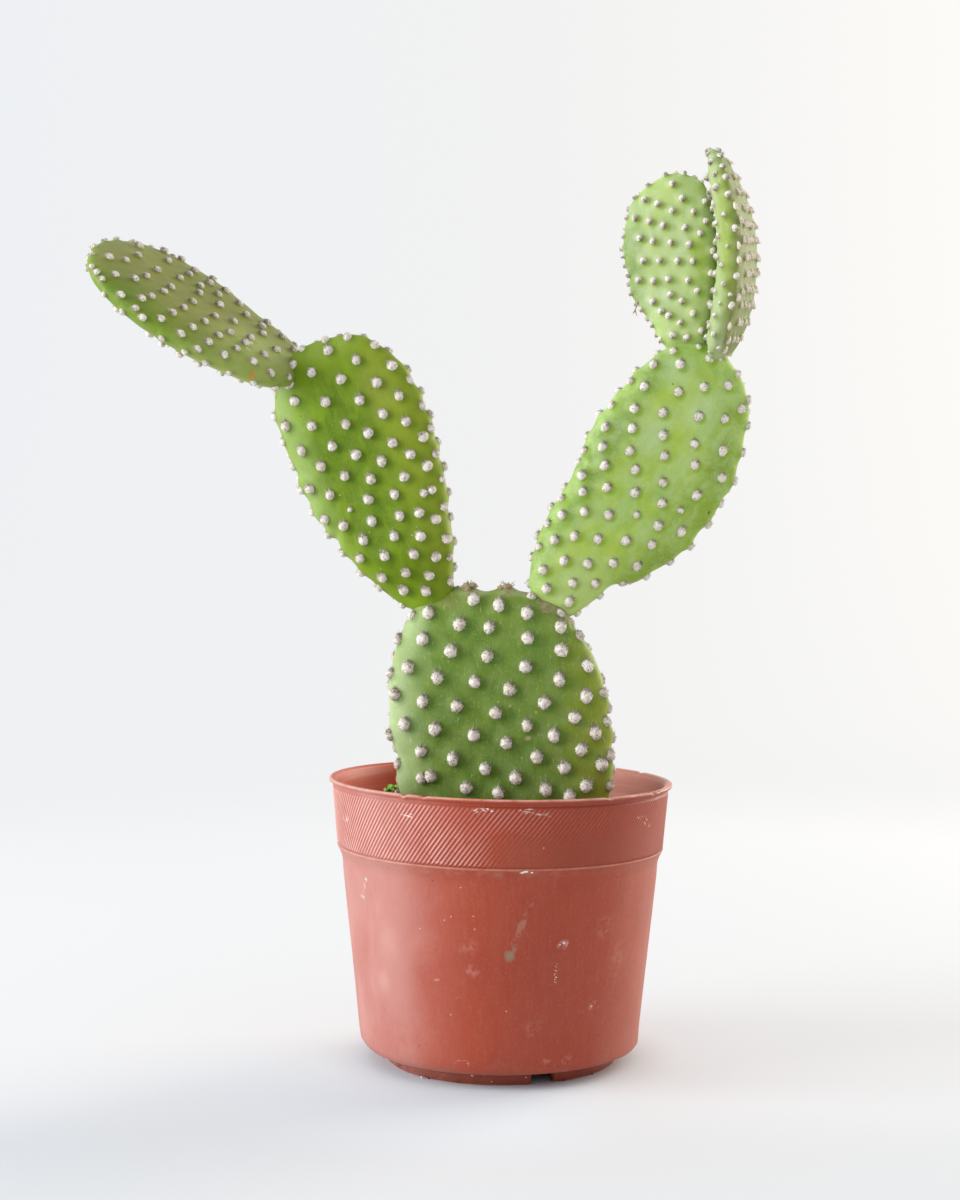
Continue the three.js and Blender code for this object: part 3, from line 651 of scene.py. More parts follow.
def tufts(name, places, mat):
    rng = np.random.default_rng(7 + sum(map(ord, name)))
    lo, hi, most = DARK[name]
    shapes = FULL if TUFT_R[name] > 1.5 else SMALL
    VV, FF, tones, flecks_and_root_shade, lots, drys_and_painted_light, UU = [], [], [], [], [], [], []
    at, cells = 0, math.ceil(math.sqrt(len(places)))
    for k, (P, N, T, size, rim) in enumerate(places):
        V, F, lean, fleck_and_root_shade, uv = shapes[int(rng.integers(len(shapes)))]
        Z = unit(N + rng.uniform(0.2, 0.4) * T + rng.normal(0, 0.05, 3))
        Y = unit(T - (T @ Z) * Z)
        X = np.cross(Y, Z)
        r = size * TUFT_R[name]
        squash = rng.uniform(0.95, 1.06)
        wide, long = r * squash, r * LONG[name] / squash
        shade, dry_and_painted_light = 1.0, 0.0
        if name == "upper_right_pad" and N[0] > 0.6:
            # on this face the cushions are narrow upright slivers
            # painted light: these slivers are made paler, to light their shaded side
            r, wide, long, shade, dry_and_painted_light = 0.68 * r, 0.7 * r, 1.25 * r, 0.0, 1.0
        elif name == "upper_right_pad" and N[0] < -0.3 and P[2] < 262 or name == "upper_left_pad" and rim and P[0] > 60:
            r, wide, long, shade = 0.72 * r, 0.72 * wide, 0.72 * long, 0.4
        elif name == "upper_right_pad":
            r, wide, long = 0.98 * r, 0.98 * wide, 0.98 * long
        elif rim:
            shade = 0.9 if name == "base_pad" else 0.7
        # the darker side of each tuft points to where the pad's tufts lie in shade: brown bristles, partly painted
        # shade
        turn = DARK_AT[name] + rng.normal(0, 0.16)
        c, sn = math.cos(turn), math.sin(turn)
        W = np.stack([(c * V[:, 0] - sn * V[:, 1]) * wide, (sn * V[:, 0] + c * V[:, 1]) * long, V[:, 2] * r * rng.uniform(0.92, 1.06)], 1)
        root = P + N * (MOUND[name] * 0.8 - (0.36 if rim else 0.1)) * r
        VV.append(root + W @ np.array([X, Y, Z]))
        FF.append(F + at)
        at += len(V)
        tones.append(shade * most * rng.uniform(0.75, 1.0) * smooth(lo + rng.uniform(-0.08, 0.08), hi, lean))
        flecks_and_root_shade.append(fleck_and_root_shade * (0.12 if dry_and_painted_light else 0.6 + 0.4 * shade) + (0.14 if rim and name in ("base_pad", "left_upper_pad") else 0.0))
        drys_and_painted_light.append(np.full(len(V), dry_and_painted_light))
        lots.append(np.full(len(V), rng.uniform()))
        i, j = divmod(k, cells)
        UU.append((uv * 0.94 + 0.03 + [i, j]) / cells)
    F = np.vstack(FF)
    uv = np.vstack(UU)[F]
    return make(name + "_tufts", np.vstack(VV), [F], [mat], uvs=[uv], attrs=dict(tone=np.concatenate(tones), fleck_and_root_shade=np.concatenate(flecks_and_root_shade), lot=np.concatenate(lots), dry_and_painted_light=np.concatenate(drys_and_painted_light)))


# ================================================================ materials of the plant
def skin_material(name, main, dark, young, pale, deep, olive=None, bloom=0.25, rim=0.5, painted_tuft_shade=0.5, east_painted_light=None, west_painted_light=None, rim_color=None, turn_painted_light=None, zones=(), strokes=0.4, spots=(), gloss=0.8):
    """Succulent skin: mottled green with a yellower rim, a thin waxy bloom, fine grain, and corky patches, with painted
    light and shade round its tufts and on its sides.
    """
    k = Nodes(name)
    big = k.noise(60, 3, 0.5, distort=0.3)
    mid = k.noise(260, 4, 0.6)
    fine = k.noise(1900, 3, 0.65)
    flow = k.attr("flow", vector=True)  # millimetres across, along and through the pad
    along = k.noise(0.16, 4, 0.6, vector=k.vmath("MULTIPLY", flow, (1.0, 0.28, 1.0)), distort=0.6)
    color = k.mix(k.ramp(big, 0.36, 0.66), main, dark)
    color = k.mix(k.ramp(along, 0.44, 0.66, 0.0, 0.6), color, young)
    color = k.mix(k.ramp(along, 0.5, 0.3, 0.0, 0.4), color, pale)
    color = k.mix(k.mul(k.ramp(mid, 0.42, 0.68), 0.45), color, young)
    edge = k.attr("edge")
    color = k.mix(k.mul(k.ramp(edge, 0.1, 1.0), rim), color, young if rim_color is None else rim_color)
    for part in (east_painted_light, west_painted_light):  # painted light and shade: one side of the pad is given another green, standing in for the left window and the warm light from the right
        if part is not None:
            sep = k.nt.nodes.new("ShaderNodeSeparateXYZ")
            k.link(flow, sep.inputs[0])
            color = k.mix(k.mul(k.ramp(sep.outputs["X"], part[1], part[2]), k.ramp(big, 0.3, 0.6, 0.6, 1.0)), color, part[0])
    if turn_painted_light is not None:  # painted light: paler where the rim turns to the left, towards the window, and greener where it turns to the right, away from it
        sep = k.nt.nodes.new("ShaderNodeSeparateXYZ")
        k.link(flow, sep.inputs[0])
        color = k.mix(0.65, color, k.mix(k.ramp(sep.outputs["Z"], -4.4, 0.4), turn_painted_light[0], turn_painted_light[1]))
    # olive tan over one face: partly the face's own bloom and fine hairs, partly a painted sheen of the face seen at a
    # grazing angle
    if olive is not None:
        face = k.ramp(k.attr("face"), 0.5, 0.9)
        amount = k.mul(face, k.ramp(mid, 0.2, 0.6, 0.8, 1.0))
        if name.startswith("left upper"):  # greener towards its lower edge
            sep = k.nt.nodes.new("ShaderNodeSeparateXYZ")
            k.link(flow, sep.inputs[0])
            amount = k.mul(amount, k.ramp(k.add(sep.outputs["X"], k.mul(k.math("SUBTRACT", mid, 0.5), 16.0)), -29, -12, 0.15, 1.0))
        color = k.mix(amount, color, k.mix(k.ramp(big, 0.35, 0.65), olive[0], olive[1]))
    for a, b, w, h, tint, strength in zones:  # broad soft patches: across, along, half width, half height
        m = k.ramp(k.vmath("LENGTH", k.mapped(flow, (a, b, 0), 0.0, (w, h, 60.0))), 1.0, 0.15)
        color = k.mix(k.mul(m, k.ramp(mid, 0.3, 0.6, 0.75, 1.0), strength), color, tint)
    # bloom lies thicker in patches and is rubbed off round the tufts
    wax = k.mul(k.ramp(k.noise(140, 4, 0.62, distort=0.6), 0.36, 0.7), k.ramp(k.attr("tuft"), 0.15, 0.8, 1.0, 0.35), bloom)
    color = k.mix(wax, color, pale)
    # painted shade: a deeper green to the lower right of each tuft, and painted highlight: a paler green to its upper
    # left
    color = k.mix(k.ramp(k.attr("painted_tuft_highlight"), 0.2, 0.95, 0.0, 0.3), color, pale)
    color = k.mix(k.ramp(k.attr("painted_tuft_shadow"), 0.2, 0.9, 0.0, painted_tuft_shade), color, deep)
    # fine grain of the skin, pores, and thin scratches along the pad
    color = k.mix(k.ramp(fine, 0.35, 0.75, 0.0, 0.3), color, young)
    color = k.mix(k.ramp(fine, 0.5, 0.28, 0.0, 0.25), color, deep)
    hair = k.noise(0.9, 3, 0.6, vector=k.vmath("MULTIPLY", flow, (2.4, 0.5, 1.0)), distort=1.4)
    color = k.mix(k.ramp(hair, 0.62, 0.72, 0.0, strokes), color, 0xD0DAB4)
    color = k.mix(k.ramp(hair, 0.34, 0.26, 0.0, 0.3), color, deep)
    wisp = k.noise(2.6, 2, 0.6, vector=k.vmath("MULTIPLY", flow, (1.7, 0.6, 1.0)), distort=2.2)
    color = k.mix(k.ramp(wisp, 0.63, 0.7, 0.0, strokes), color, 0xD4DDBC)
    pores = k.ramp(k.voronoi(1500, randomness=1.0), 0.05, 0.22, 0.22, 0.0)
    color = k.mix(pores, color, pale)
    grit = k.mul(k.ramp(k.voronoi(330), 0.035, 0.075, 1.0, 0.0), k.ramp(k.noise(90, 2, 0.5), 0.5, 0.62))
    color = k.mix(k.mul(grit, 0.55), color, 0xD9DCC6)
    # cork
    corkiness = k.attr("cork")
    edge_noise = k.noise(420, 4, 0.7, distort=0.4)
    cork = k.ramp(k.add(corkiness, k.mul(k.math("SUBTRACT", edge_noise, 0.5), 0.9)), 0.42, 0.72)
    ridges = k.noise(1.3, 3, 0.6, vector=k.vmath("MULTIPLY", flow, (0.35, 1.6, 0.5)), distort=0.8)
    cork_color = k.mix(k.ramp(ridges, 0.36, 0.62), 0x8F8458, 0xA99E72)
    color = k.mix(k.mul(cork, 0.8), color, cork_color)
    # small scars and specks: across, along, side, half width, half height, colour, strength
    for a, b, c, w, h, tint, strength in spots:
        place = k.nt.nodes.new("ShaderNodeVectorMath")
        place.operation = "MULTIPLY_ADD"
        k.link(color, place.inputs[0])
        place.inputs[1].default_value = (1e-6, 1e-6, 0)
        k.link(flow, place.inputs[2])
        m = k.ramp(k.vmath("LENGTH", k.mapped(place.outputs[0], (a, b, c), 0.0, (w, h, 4.0))), 1.0, 0.45)
        if w > 0.6:
            m = k.mul(m, k.ramp(edge_noise, 0.42, 0.56))
        color = k.mix(k.mul(m, strength), color, tint)
    k.set(Base_Color=color)
    k.set(Roughness=k.ramp(k.add(k.mul(mid, 0.6), k.mul(wax, 0.8)), 0.2, 0.8, 0.5, 0.68))
    k.bsdf.inputs["Specular IOR Level"].default_value = 0.3 * gloss
    k.bsdf.inputs["Sheen Weight"].default_value = 0.05 * gloss
    k.bsdf.inputs["Sheen Roughness"].default_value = 0.45
    k.bsdf.inputs["Subsurface Weight"].default_value = 0.2
    k.bsdf.inputs["Subsurface Radius"].default_value = (0.7, 1.0, 0.2)
    k.bsdf.inputs["Subsurface Scale"].default_value = 0.0022
    grain = k.bump(fine, 0.35, 0.00012)
    dimple = k.bump(mid, 0.3, 0.00045, grain)
    k.set(Normal=k.bump(k.mul(cork, ridges), 0.9, 0.001, dimple))
    return k


TAN, SCAR, BLACK = 0xB9A27C, 0xCFC7A2, 0x2A2A18
SKIN = {
    "base_pad": skin_material("base pad skin", 0x5A7B24, 0x507220, 0x718722, 0x889B57, 0x4A720F, bloom=0.3, rim=0.4, east_painted_light=(0x8E981F, 12.0, 32.0), zones=((-27.0, 28.0, 9.0, 13.0, 0xB4CC90, 0.35), (-15.5, 34.5, 6.5, 4.2, 0x6C6832, 0.65), (-8.5, 37.6, 7.5, 1.7, 0xB4AC86, 0.7), (4.5, 37.9, 9.0, 1.8, 0xB4AC86, 0.7), (13.5, 36.2, 5.0, 2.2, 0xA69E78, 0.6)), west_painted_light=(0xB2C292, -20.0, -36.0), strokes=0.45,
        spots=((8.6, -6.1, 9.0, 1.5, 0.9, TAN, 0.7), (3.1, 3.6, 8.9, 0.55, 0.5, TAN, 0.7), (11.0, 1.8, 8.9, 0.6, 0.55, TAN, 0.65), (-0.5, 4.8, 8.9, 0.4, 0.4, TAN, 0.6), (6.8, -12.1, 9.1, 0.5, 0.5, TAN, 0.55), (12.3, -5.1, 8.9, 1.1, 0.8, TAN, 0.6), (9.5, -2.7, 8.9, 0.8, 0.6, SCAR, 0.6), (14.8, -2.2, 8.8, 0.7, 0.7, TAN, 0.45)),
    ),
    "left_pad": skin_material("left pad skin", 0x516C03, 0x566F06, 0x7A940C, 0x5E7A08, 0x486A01, bloom=0.04, rim=0.75, painted_tuft_shade=0.3, east_painted_light=(0x869426, 2.0, 18.0), west_painted_light=(0x90A65E, -10.0, -21.0), gloss=0.6, zones=((2.0, 41.0, 16.0, 8.0, 0x94A44E, 0.5), (2.0, -36.0, 14.0, 13.0, 0x708C12, 0.4), (-13.0, 24.0, 9.0, 14.0, 0x7E9E1A, 0.5), (12.0, 24.0, 9.0, 16.0, 0x8E9638, 0.6)), strokes=0.08,
        spots=((9.9, 22.8, 5.8, 0.32, 0.32, BLACK, 0.9), (-14.7, 22.3, 5.6, 0.3, 0.3, BLACK, 0.85), (8.4, -23.1, 7.1, 0.26, 0.4, SCAR, 0.6), (-10.2, -4.5, 6.2, 0.5, 0.3, SCAR, 0.5), (16.0, -36.0, 5.0, 0.35, 0.35, BLACK, 0.8), (16.4, -31.5, 4.6, 0.25, 0.25, BLACK, 0.7)),
    ),
    "right_pad": skin_material("right pad skin", 0xA8C655, 0x99BD56, 0xBAD050, 0xC2D99E, 0x83A91B, bloom=0.45, rim=0.45, rim_color=0x94B658, gloss=0.55, east_painted_light=(0x7A962A, 4.0, 19.0), west_painted_light=(0x7E9A4E, -9.0, -17.0), zones=((3.0, 26.5, 9.0, 11.0, 0xC8DEB8, 0.5), (-9.0, 33.5, 8.0, 8.0, 0xBED6A8, 0.5), (-6.0, 13.0, 7.0, 10.0, 0xC4DCB2, 0.4), (-4.0, -40.0, 14.0, 16.0, 0xC4D684, 0.45)), painted_tuft_shade=0.75, strokes=0.3,
        spots=((-8.8, 28.8, 4.1, 0.35, 0.3, BLACK, 0.85), (-17.0, 22.1, 3.6, 0.28, 0.28, BLACK, 0.8), (23.0, 1.6, 4.4, 0.4, 0.9, BLACK, 0.8), (-2.6, -45.5, 3.0, 0.3, 0.3, BLACK, 0.8), (7.0, 15.7, 5.5, 1.1, 1.3, SCAR, 0.75)),
    ),
    "left_upper_pad": skin_material("left upper pad skin", 0x69811B, 0x5B7216, 0x779024, 0x8B994B, 0x566E0C, olive=(0x817D32, 0x75742C), bloom=0.15, rim=0.25, painted_tuft_shade=0.3, zones=((-12.0, -30.0, 26.0, 24.0, 0xA6B062, 0.75), (-27.0, 12.0, 9.0, 18.0, 0x5E7A1C, 0.5), (-26.0, -22.0, 9.0, 20.0, 0xA4AE64, 0.45)), strokes=0.2,
        spots=((-16.4, -32.8, 2.3, 0.9, 0.9, 0xC97E2A, 0.85), (-7.4, -25.2, 6.0, 1.6, 1.1, SCAR, 0.85), (-9.2, -18.8, 5.9, 1.2, 0.8, SCAR, 0.75), (-11.5, -26.5, 5.6, 0.9, 1.3, SCAR, 0.6)),
    ),
    "upper_left_pad": skin_material("upper left pad skin", 0xB8CC88, 0xACC27C, 0xBCCC78, 0xC6D2B6, 0x92B028, bloom=0.32, rim=0.45, rim_color=0x92AE5A, painted_tuft_shade=0.7, gloss=0.55, west_painted_light=(0x6E8646, -5.5, -11.0), zones=((9.5, -4.0, 6.0, 15.0, 0x98B226, 0.6),), strokes=0.3),
    "upper_right_pad": skin_material("upper right pad skin", 0x919F59, 0x829449, 0x9FA65F, 0xA4AA90, 0x778B26, olive=(0x66702E, 0x5C6626), turn_painted_light=(0xACBE94, 0x829A38), bloom=0.06, gloss=0.25, rim=0.2, painted_tuft_shade=0.5, strokes=0.3),
}


def tuft_material():
    k = Nodes("bristle cushions")
    tone = k.attr("tone")
    fleck_and_root_shade = k.attr("fleck_and_root_shade")
    lot = k.attr("lot")
    fine = k.noise(2600, 3, 0.7)
    mid = k.noise(900, 3, 0.6)
    color = k.mix(k.ramp(mid, 0.35, 0.7), 0xFCF5EB, 0xF0E7DA)
    color = k.mix(k.ramp(lot, 0.2, 1.0, 0.0, 0.35), color, 0xE2D6C2)
    # painted light: the slivers on the upper right pad's right face are paler, to light their shaded side
    color = k.mix(k.attr("dry_and_painted_light"), color, 0xFFF2DE)
    # brown bristles, and painted shade at the bristles' roots
    color = k.mix(k.ramp(fleck_and_root_shade, 0.0, 1.0, 0.0, 0.9), color, k.mix(k.ramp(fine, 0.35, 0.65), 0x9A8468, 0x7A6650))
    speckle = k.mul(k.ramp(k.noise(1700, 2, 0.6), 0.52, 0.62), k.ramp(fleck_and_root_shade, 0.0, 0.5, 0.4, 0.8))
    color = k.mix(speckle, color, 0x86705A)
    # the darker side of each tuft: brown bristles, partly painted shade on the side away from the light
    brown = k.ramp(k.add(tone, k.mul(k.math("SUBTRACT", fine, 0.5), 0.7)), 0.08, 0.95)
    color = k.mix(brown, color, k.mix(k.ramp(mid, 0.35, 0.65), 0x88745E, 0x524030))
    k.set(Base_Color=color)
    k.bsdf.inputs["Roughness"].default_value = 0.8
    k.bsdf.inputs["Specular IOR Level"].default_value = 0.2
    k.bsdf.inputs["Sheen Weight"].default_value = 0.15
    k.bsdf.inputs["Sheen Roughness"].default_value = 0.5
    k.set(Normal=k.bump(fine, 0.9, 0.0003))
    return k.mat


TUFT_MAT = tuft_material()


def crust_material():
    k = Nodes("dried crust")
    n, fine = k.noise(700, 4, 0.7), k.noise(2200, 3, 0.7)
    color = k.mix(k.ramp(n, 0.36, 0.66), 0x8E785A, 0xB8A888)
    color = k.mix(k.ramp(fine, 0.5, 0.75, 0.0, 0.6), color, 0xD0C4AA)
    color = k.mix(k.ramp(fine, 0.42, 0.25, 0.0, 0.5), color, 0x5A4630)
    k.set(Base_Color=color)
    k.bsdf.inputs["Roughness"].default_value = 0.9
    k.bsdf.inputs["Specular IOR Level"].default_value = 0.2
    k.set(Normal=k.bump(fine, 0.6, 0.0003))
    return k.mat


def build_crusts():
    """Dried remains of old buds on the top of the base pad, with stiff little hairs, and a forked bit of dried stalk on
    an upper pad.
    """
    rng = np.random.default_rng(61)
    V, F, at = [], [], 0

    def thorn(base, aim, length, thick):
        nonlocal at
        aim = unit(aim)
        x = unit(np.cross(aim, [0.3, 0.9, 0.2]))
        y = np.cross(aim, x)
        v = [base + thick * (math.cos(TAU * m / 4) * x + math.sin(TAU * m / 4) * y) for m in range(4)]
        v += [base + aim * length * 0.6 + 0.6 * thick * (math.cos(TAU * m / 4) * x + math.sin(TAU * m / 4) * y) for m in range(4)] + [base + aim * length]
        V.append(np.array(v))
        for m in range(4):
            n = (m + 1) % 4
            F.append(np.array([(m, n, 4 + n), (m, 4 + n, 4 + m), (4 + m, 4 + n, 8)]) + at)
        at += 9

    def blob(c, size, scale):
        nonlocal at
        v, f = lump(rng, size, 1.0, 0.16, 2)
        V.append(v * scale + c)
        F.append(f + at)
        at += len(v)

    for c, wide, high, many in (([-10.4, -1.6, 144.6], 1.8, 1.9, 34), ([1.6, -1.9, 144.9], 2.7, 1.5, 22)):
        c = np.array(c)
        for _ in range(9):
            q = rng.normal(0, 1, 3) * [0.45 * wide, 0.5, 0.2 * high]
            blob(c + q, rng.uniform(0.5, 0.8) * high, [1.1, 0.9, 0.8])
        for _ in range(many):
            q = rng.normal(0, 1, 3) * [0.5 * wide, 0.6, 0.25 * high]
            thorn(c + q + [0, 0, 0.3 * high], [q[0] * 0.5, q[1] * 0.5 - 0.3, rng.uniform(0.4, 1.2)], rng.uniform(0.4, 0.85) * high, 0.16)
    stem = np.array([41.4, -0.6, 231.6])
    fork = np.array([40.6, -0.9, 229.2])
    thorn(stem, fork - stem, np.linalg.norm(fork - stem) * 1.5, 0.3)
    thorn(fork + [0.05, 0, 0.1], [-0.9, -0.2, -1.4], 1.7, 0.2)
    thorn(fork + [0, 0, 0.1], [0.45, -0.2, -1.6], 2.3, 0.22)
    thorn(stem + [-0.3, 0, -0.9], [-1.0, 0, 0.25], 0.9, 0.14)
    blob(stem, 0.5, [1, 1, 0.8])
    blob(fork, 0.34, [1, 1, 1])
    return make("dried_crusts", np.vstack(V), [np.vstack(F)], [crust_material()])

GRID = {"base_pad": 132, "left_pad": 116, "right_pad": 116, "left_upper_pad": 104, "upper_left_pad": 84, "upper_right_pad": 92}
places = {}
for name in PADS:
    places[name] = tufts_of(name)
    ob = skin(name, places[name], SKIN[name].mat, GRID[name])
    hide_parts(name)
    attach(ob, "root")
    ob = tufts(name, places[name], TUFT_MAT)
    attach(ob, "root")
    print(name, "tufts", len(places[name]), "triangles", len(ob.data.polygons))

# ================================================================ pot
POT_H = 85.9
COLS = 663  # three to a rib
RIBS = 221
SHIFT = 29  # columns by which the ribs lean over the band


def warp(P):
    x, y, z = P[..., 0], P[..., 1], P[..., 2]
    w = (np.maximum(z, 0) / POT_H) ** 1.5
    angle = np.arctan2(x, -y)
    k = 1 + 0.018 * w * np.cos(2 * (angle - 0.63))
    lean = -0.78 * smooth(4.4, 8.0, z) * (1 - 0.42 * z / POT_H)
    return np.stack([x * k + lean, y * k, z + w * (-0.0168 * x - 0.0059 * y)], -1)


def line(points, steps):
    """Points along a polyline, with the given number of steps on each part."""
    out = [points[0]]
    for (a, b), n in zip(zip(points, points[1:]), steps):
        out += [(a[0] + (b[0] - a[0]) * i / n, a[1] + (b[1] - a[1]) * i / n) for i in range(1, n + 1)]
    return out


def build_pot(mats):
    # outside, from the floor's middle out and up to the band's lower end
    under = line([(0.9, 0), (10, 0), (11.3, 2.0), (13, 4.4), (32.1, 4.4), (32.5, 0.25), (32.8, 0), (34.9, 0), (35.2, 0.25), (35.6, 4.2), (40.7, 4.4), (41.3, 4.6), (42.2, 5.5), (42.8, 7.1)],
                 [2, 1, 2, 11, 1, 1, 2, 1, 2, 2, 1, 2, 2])
    wall = line([(42.8, 7.1), (48.2, 57.4), (48.4, 60.4)], [18, 2])
    step = line([(48.4, 60.4), (48.56, 61.7), (48.9, 62.9), (49.35, 63.9), (49.75, 64.7), (50.02, 65.25), (50.12, 65.5), (50.12, 65.75), (50.0, 65.95)], [2, 2, 2, 2, 1, 1, 1, 1])
    rows_low = under + wall[1:] + step[1:]
    band = line([(50.0, 65.95), (51.62, 83.75)], [20])
    lip = line([(51.62, 83.75), (51.72, 84.35), (51.8, 84.6), (52.3, 84.72), (52.72, 84.95), (52.9, 85.3), (52.88, 85.6), (52.65, 85.83), (52.3, 85.9), (51.5, 85.9), (51.1, 85.75), (50.85, 85.4), (50.45, 84.7)],
               [2, 1, 1, 1, 1, 1, 1, 1, 2, 1, 1, 2])
    inner = line([(50.45, 84.7), (48.65, 65.9), (47.3, 61.8), (41.5, 7.4), (39.8, 5.7), (12.6, 5.7), (10.9, 3.3), (9.2, 1.3), (0.9, 1.3)], [6, 2, 9, 2, 11, 1, 1, 2])
    rows_high = lip + inner[1:]
    V, wrap, rib, Q, Q6 = [], [], [], [], []

    def ring(r, z, cols, turn):
        i = np.arange(cols)
        f = TAU * i / cols + turn
        P = np.stack([r * np.sin(f), -r * np.cos(f), np.full(cols, z, float)], 1)
        at = sum(len(v) for v in V)
        V.append(P)
        g = (f + math.pi) % TAU - math.pi
        wrap.append(np.stack([g * 50.0, np.full(cols, z), np.zeros(cols)], 1))
        rib.append(np.zeros(cols))
        return at + i

    def join(a, b):
        Q.append(np.stack([a, np.roll(a, -1), np.roll(b, -1), b], 1))

    def double(a, b, up):
        """A row of a joined to a row of b that has twice the columns."""
        j = np.arange(len(a))
        A, A2 = a, np.roll(a, -1)
        B, B1, B2 = b[2 * j], b[2 * j + 1], b[(2 * j + 2) % len(b)]
        Q6.append(np.stack([A, A2, B2, B1, B], 1) if up else np.stack([B, B1, B2, A2, A], 1))

    turn_low, turn_high = 0.0, TAU * SHIFT / COLS
    low = [ring(r, z, COLS, turn_low) for r, z in rows_low]
    for a, b in zip(low, low[1:]):
        join(a, b)
    fine = []
    for i, (r, z) in enumerate(band):
        share = i / (len(band) - 1)
        fine.append(ring(r, z, 2 * COLS, turn_high * share))
    # the rib's section, six columns wide: a broad crest and a narrower furrow
    form = np.array([0.7, 1.0, 0.7, -0.35, -1.0, -0.35])
    for i, ids in enumerate(fine):
        share = i / (len(band) - 1)
        z = band[i][1]
        at = sum(len(v) for v in V[: len(low) + i])
        P = V[len(low) + i]
        f = np.arctan2(P[:, 0], -P[:, 1])
        deg = np.degrees(f)
        fade = smooth(0, 0.05, share) * smooth(1.0, 0.96, share)
        worn = 0.88 * smooth(-9, 4, deg) * smooth(76, 60, deg) * smooth(80.0, 73.0, z + 1.8 * np.sin(deg / 9.0))
        worn = np.maximum(worn, 0.6 * smooth(14, 34, deg) * smooth(86, 66, deg))
        rough = noise(np.stack([f * 50, np.full(len(f), z), np.zeros(len(f))], 1), 9.0, 31)
        amount = fade * (1 - worn) * (0.92 + 0.25 * rough)
        h = np.tile(form, RIBS) * 0.13 * amount
        P[:, :2] *= (1 + h / band[i][0])[:, None]
        rib[len(low) + i] = np.tile(form, RIBS) * amount
    double(low[-1], fine[0], True)
    for a, b in zip(fine, fine[1:]):
        join(a, b)
    high = [ring(r, z, COLS, turn_high) for r, z in rows_high]
    double(high[0], fine[-1], False)
    for a, b in zip(high, high[1:]):
        join(a, b)
    # centres
    at = sum(len(v) for v in V)
    V.append(np.array([[0, 0, 0.0], [0, 0, 1.3]]))
    wrap.append(np.zeros((2, 3)))
    rib.append(np.zeros(2))
    T = [np.stack([np.full(COLS, at), low[0], np.roll(low[0], -1)], 1)[:, ::-1], np.stack([np.full(COLS, at + 1), np.roll(high[-1], -1), high[-1]], 1)[:, ::-1]]
    P, W, R = np.vstack(V), np.vstack(wrap), np.concatenate(rib)
    quads = np.vstack(Q)
    # drain holes: the floor's two sides have the same rows, so a hole's two edges match
    r = np.hypot(P[:, 0], P[:, 1])
    floor_low = (np.abs(P[:, 2] - 4.4) < 0.02) & (r > 12.9) & (r < 32.2)
    floor_top = (np.abs(P[:, 2] - 5.7) < 0.02) & (r > 12.5) & (r < 39.5)
    keep = np.ones(len(quads), bool)
    walls = []
    for i in range(6):
        g = (i + 0.5) * TAU / 6
        c = np.array([24 * math.sin(g), -24 * math.cos(g)])
        d = np.hypot(P[:, 0] - c[0], P[:, 1] - c[1])
        rims = []
        for level, z in ((floor_low, 4.4), (floor_top, 5.7)):
            hit = (level[quads].all(1)) & ((d[quads] < 3.4).sum(1) >= 2)
            keep &= ~hit
            # the edges that one removed face and one kept face share
            q = quads[hit]
            e = np.concatenate([np.stack([q[:, k], q[:, (k + 1) % 4]], 1) for k in range(4)])
            key = {(int(a), int(b)) for a, b in e}
            edge = [(a, b) for a, b in key if (b, a) not in key]
            ids = np.array(sorted({a for a, _ in edge} | {b for _, b in edge}))
            v = P[ids, :2] - c
            P[ids, :2] = c + unit(v) * 3.4
            # in order round the hole
            nxt = dict(edge)
            start = edge[0][0]
            loop = [start]
            while nxt[loop[-1]] != start and len(loop) < 4000:
                loop.append(nxt[loop[-1]])
            rims.append((loop, z))
        a, b = rims[0][0], rims[1][0]
        # bridge the two edge loops by angle
        pos = lambda s: np.array([math.atan2(*(P[k, :2] - c)) for k in s])
        b = b[::-1]
        pa, pb = pos(a), pos(b)
        def order(s, p):
            k = int(np.argmin(p))
            s, p = np.roll(s, -k), np.roll(p, -k)
            if np.mean(np.diff(p) > 0) < 0.5:
                s, p = np.roll(s[::-1], 1), np.roll(p[::-1], 1)
                k = int(np.argmin(p))
                s, p = np.roll(s, -k), np.roll(p, -k)
            return s, p
        sa, pa = order(np.array(a), pa)
        sb, pb = order(np.array(b), pb)
        i1 = j1 = 0
        tris = []
        while i1 < len(sa) or j1 < len(sb):
            na = pa[(i1 + 1) % len(sa)] + (TAU if i1 + 1 >= len(sa) else 0) if i1 < len(sa) else 1e9
            nb = pb[(j1 + 1) % len(sb)] + (TAU if j1 + 1 >= len(sb) else 0) if j1 < len(sb) else 1e9
            A, B = sa[i1 % len(sa)], sb[j1 % len(sb)]
            if na <= nb:
                tris.append((A, sa[(i1 + 1) % len(sa)], B))
                i1 += 1
            else:
                tris.append((A, sb[(j1 + 1) % len(sb)], B))
                j1 += 1
        walls.append(np.array(tris))
    quads = quads[keep]
    # the hole's walls face its middle
    for k, w in enumerate(walls):
        g = (k + 0.5) * TAU / 6
        c = np.array([24 * math.sin(g), -24 * math.cos(g)])
        n = np.cross(P[w[:, 1]] - P[w[:, 0]], P[w[:, 2]] - P[w[:, 0]])
        mid = P[w].mean(1)[:, :2] - c
        wrong = (n[:, :2] * mid).sum(1) > 0
        w[wrong] = w[wrong][:, ::-1]
        T.append(w)
    # drain notches across the foot ring
    for deg in (19.5, 139.5, 259.5):
        g = math.radians(deg)
        x = P[:, 0] * math.cos(g) + P[:, 1] * math.sin(g)
        y = P[:, 0] * math.sin(g) - P[:, 1] * math.cos(g)
        m = (r > 31.5) & (r < 36.0) & (P[:, 2] < 4.3) & (y > 0) & (np.abs(x) < 3.75)
        lift = 1 - smooth(3.35, 3.75, np.abs(x[m]))
        P[m, 2] = P[m, 2] + (np.maximum(P[m, 2], 3.95) - P[m, 2]) * lift
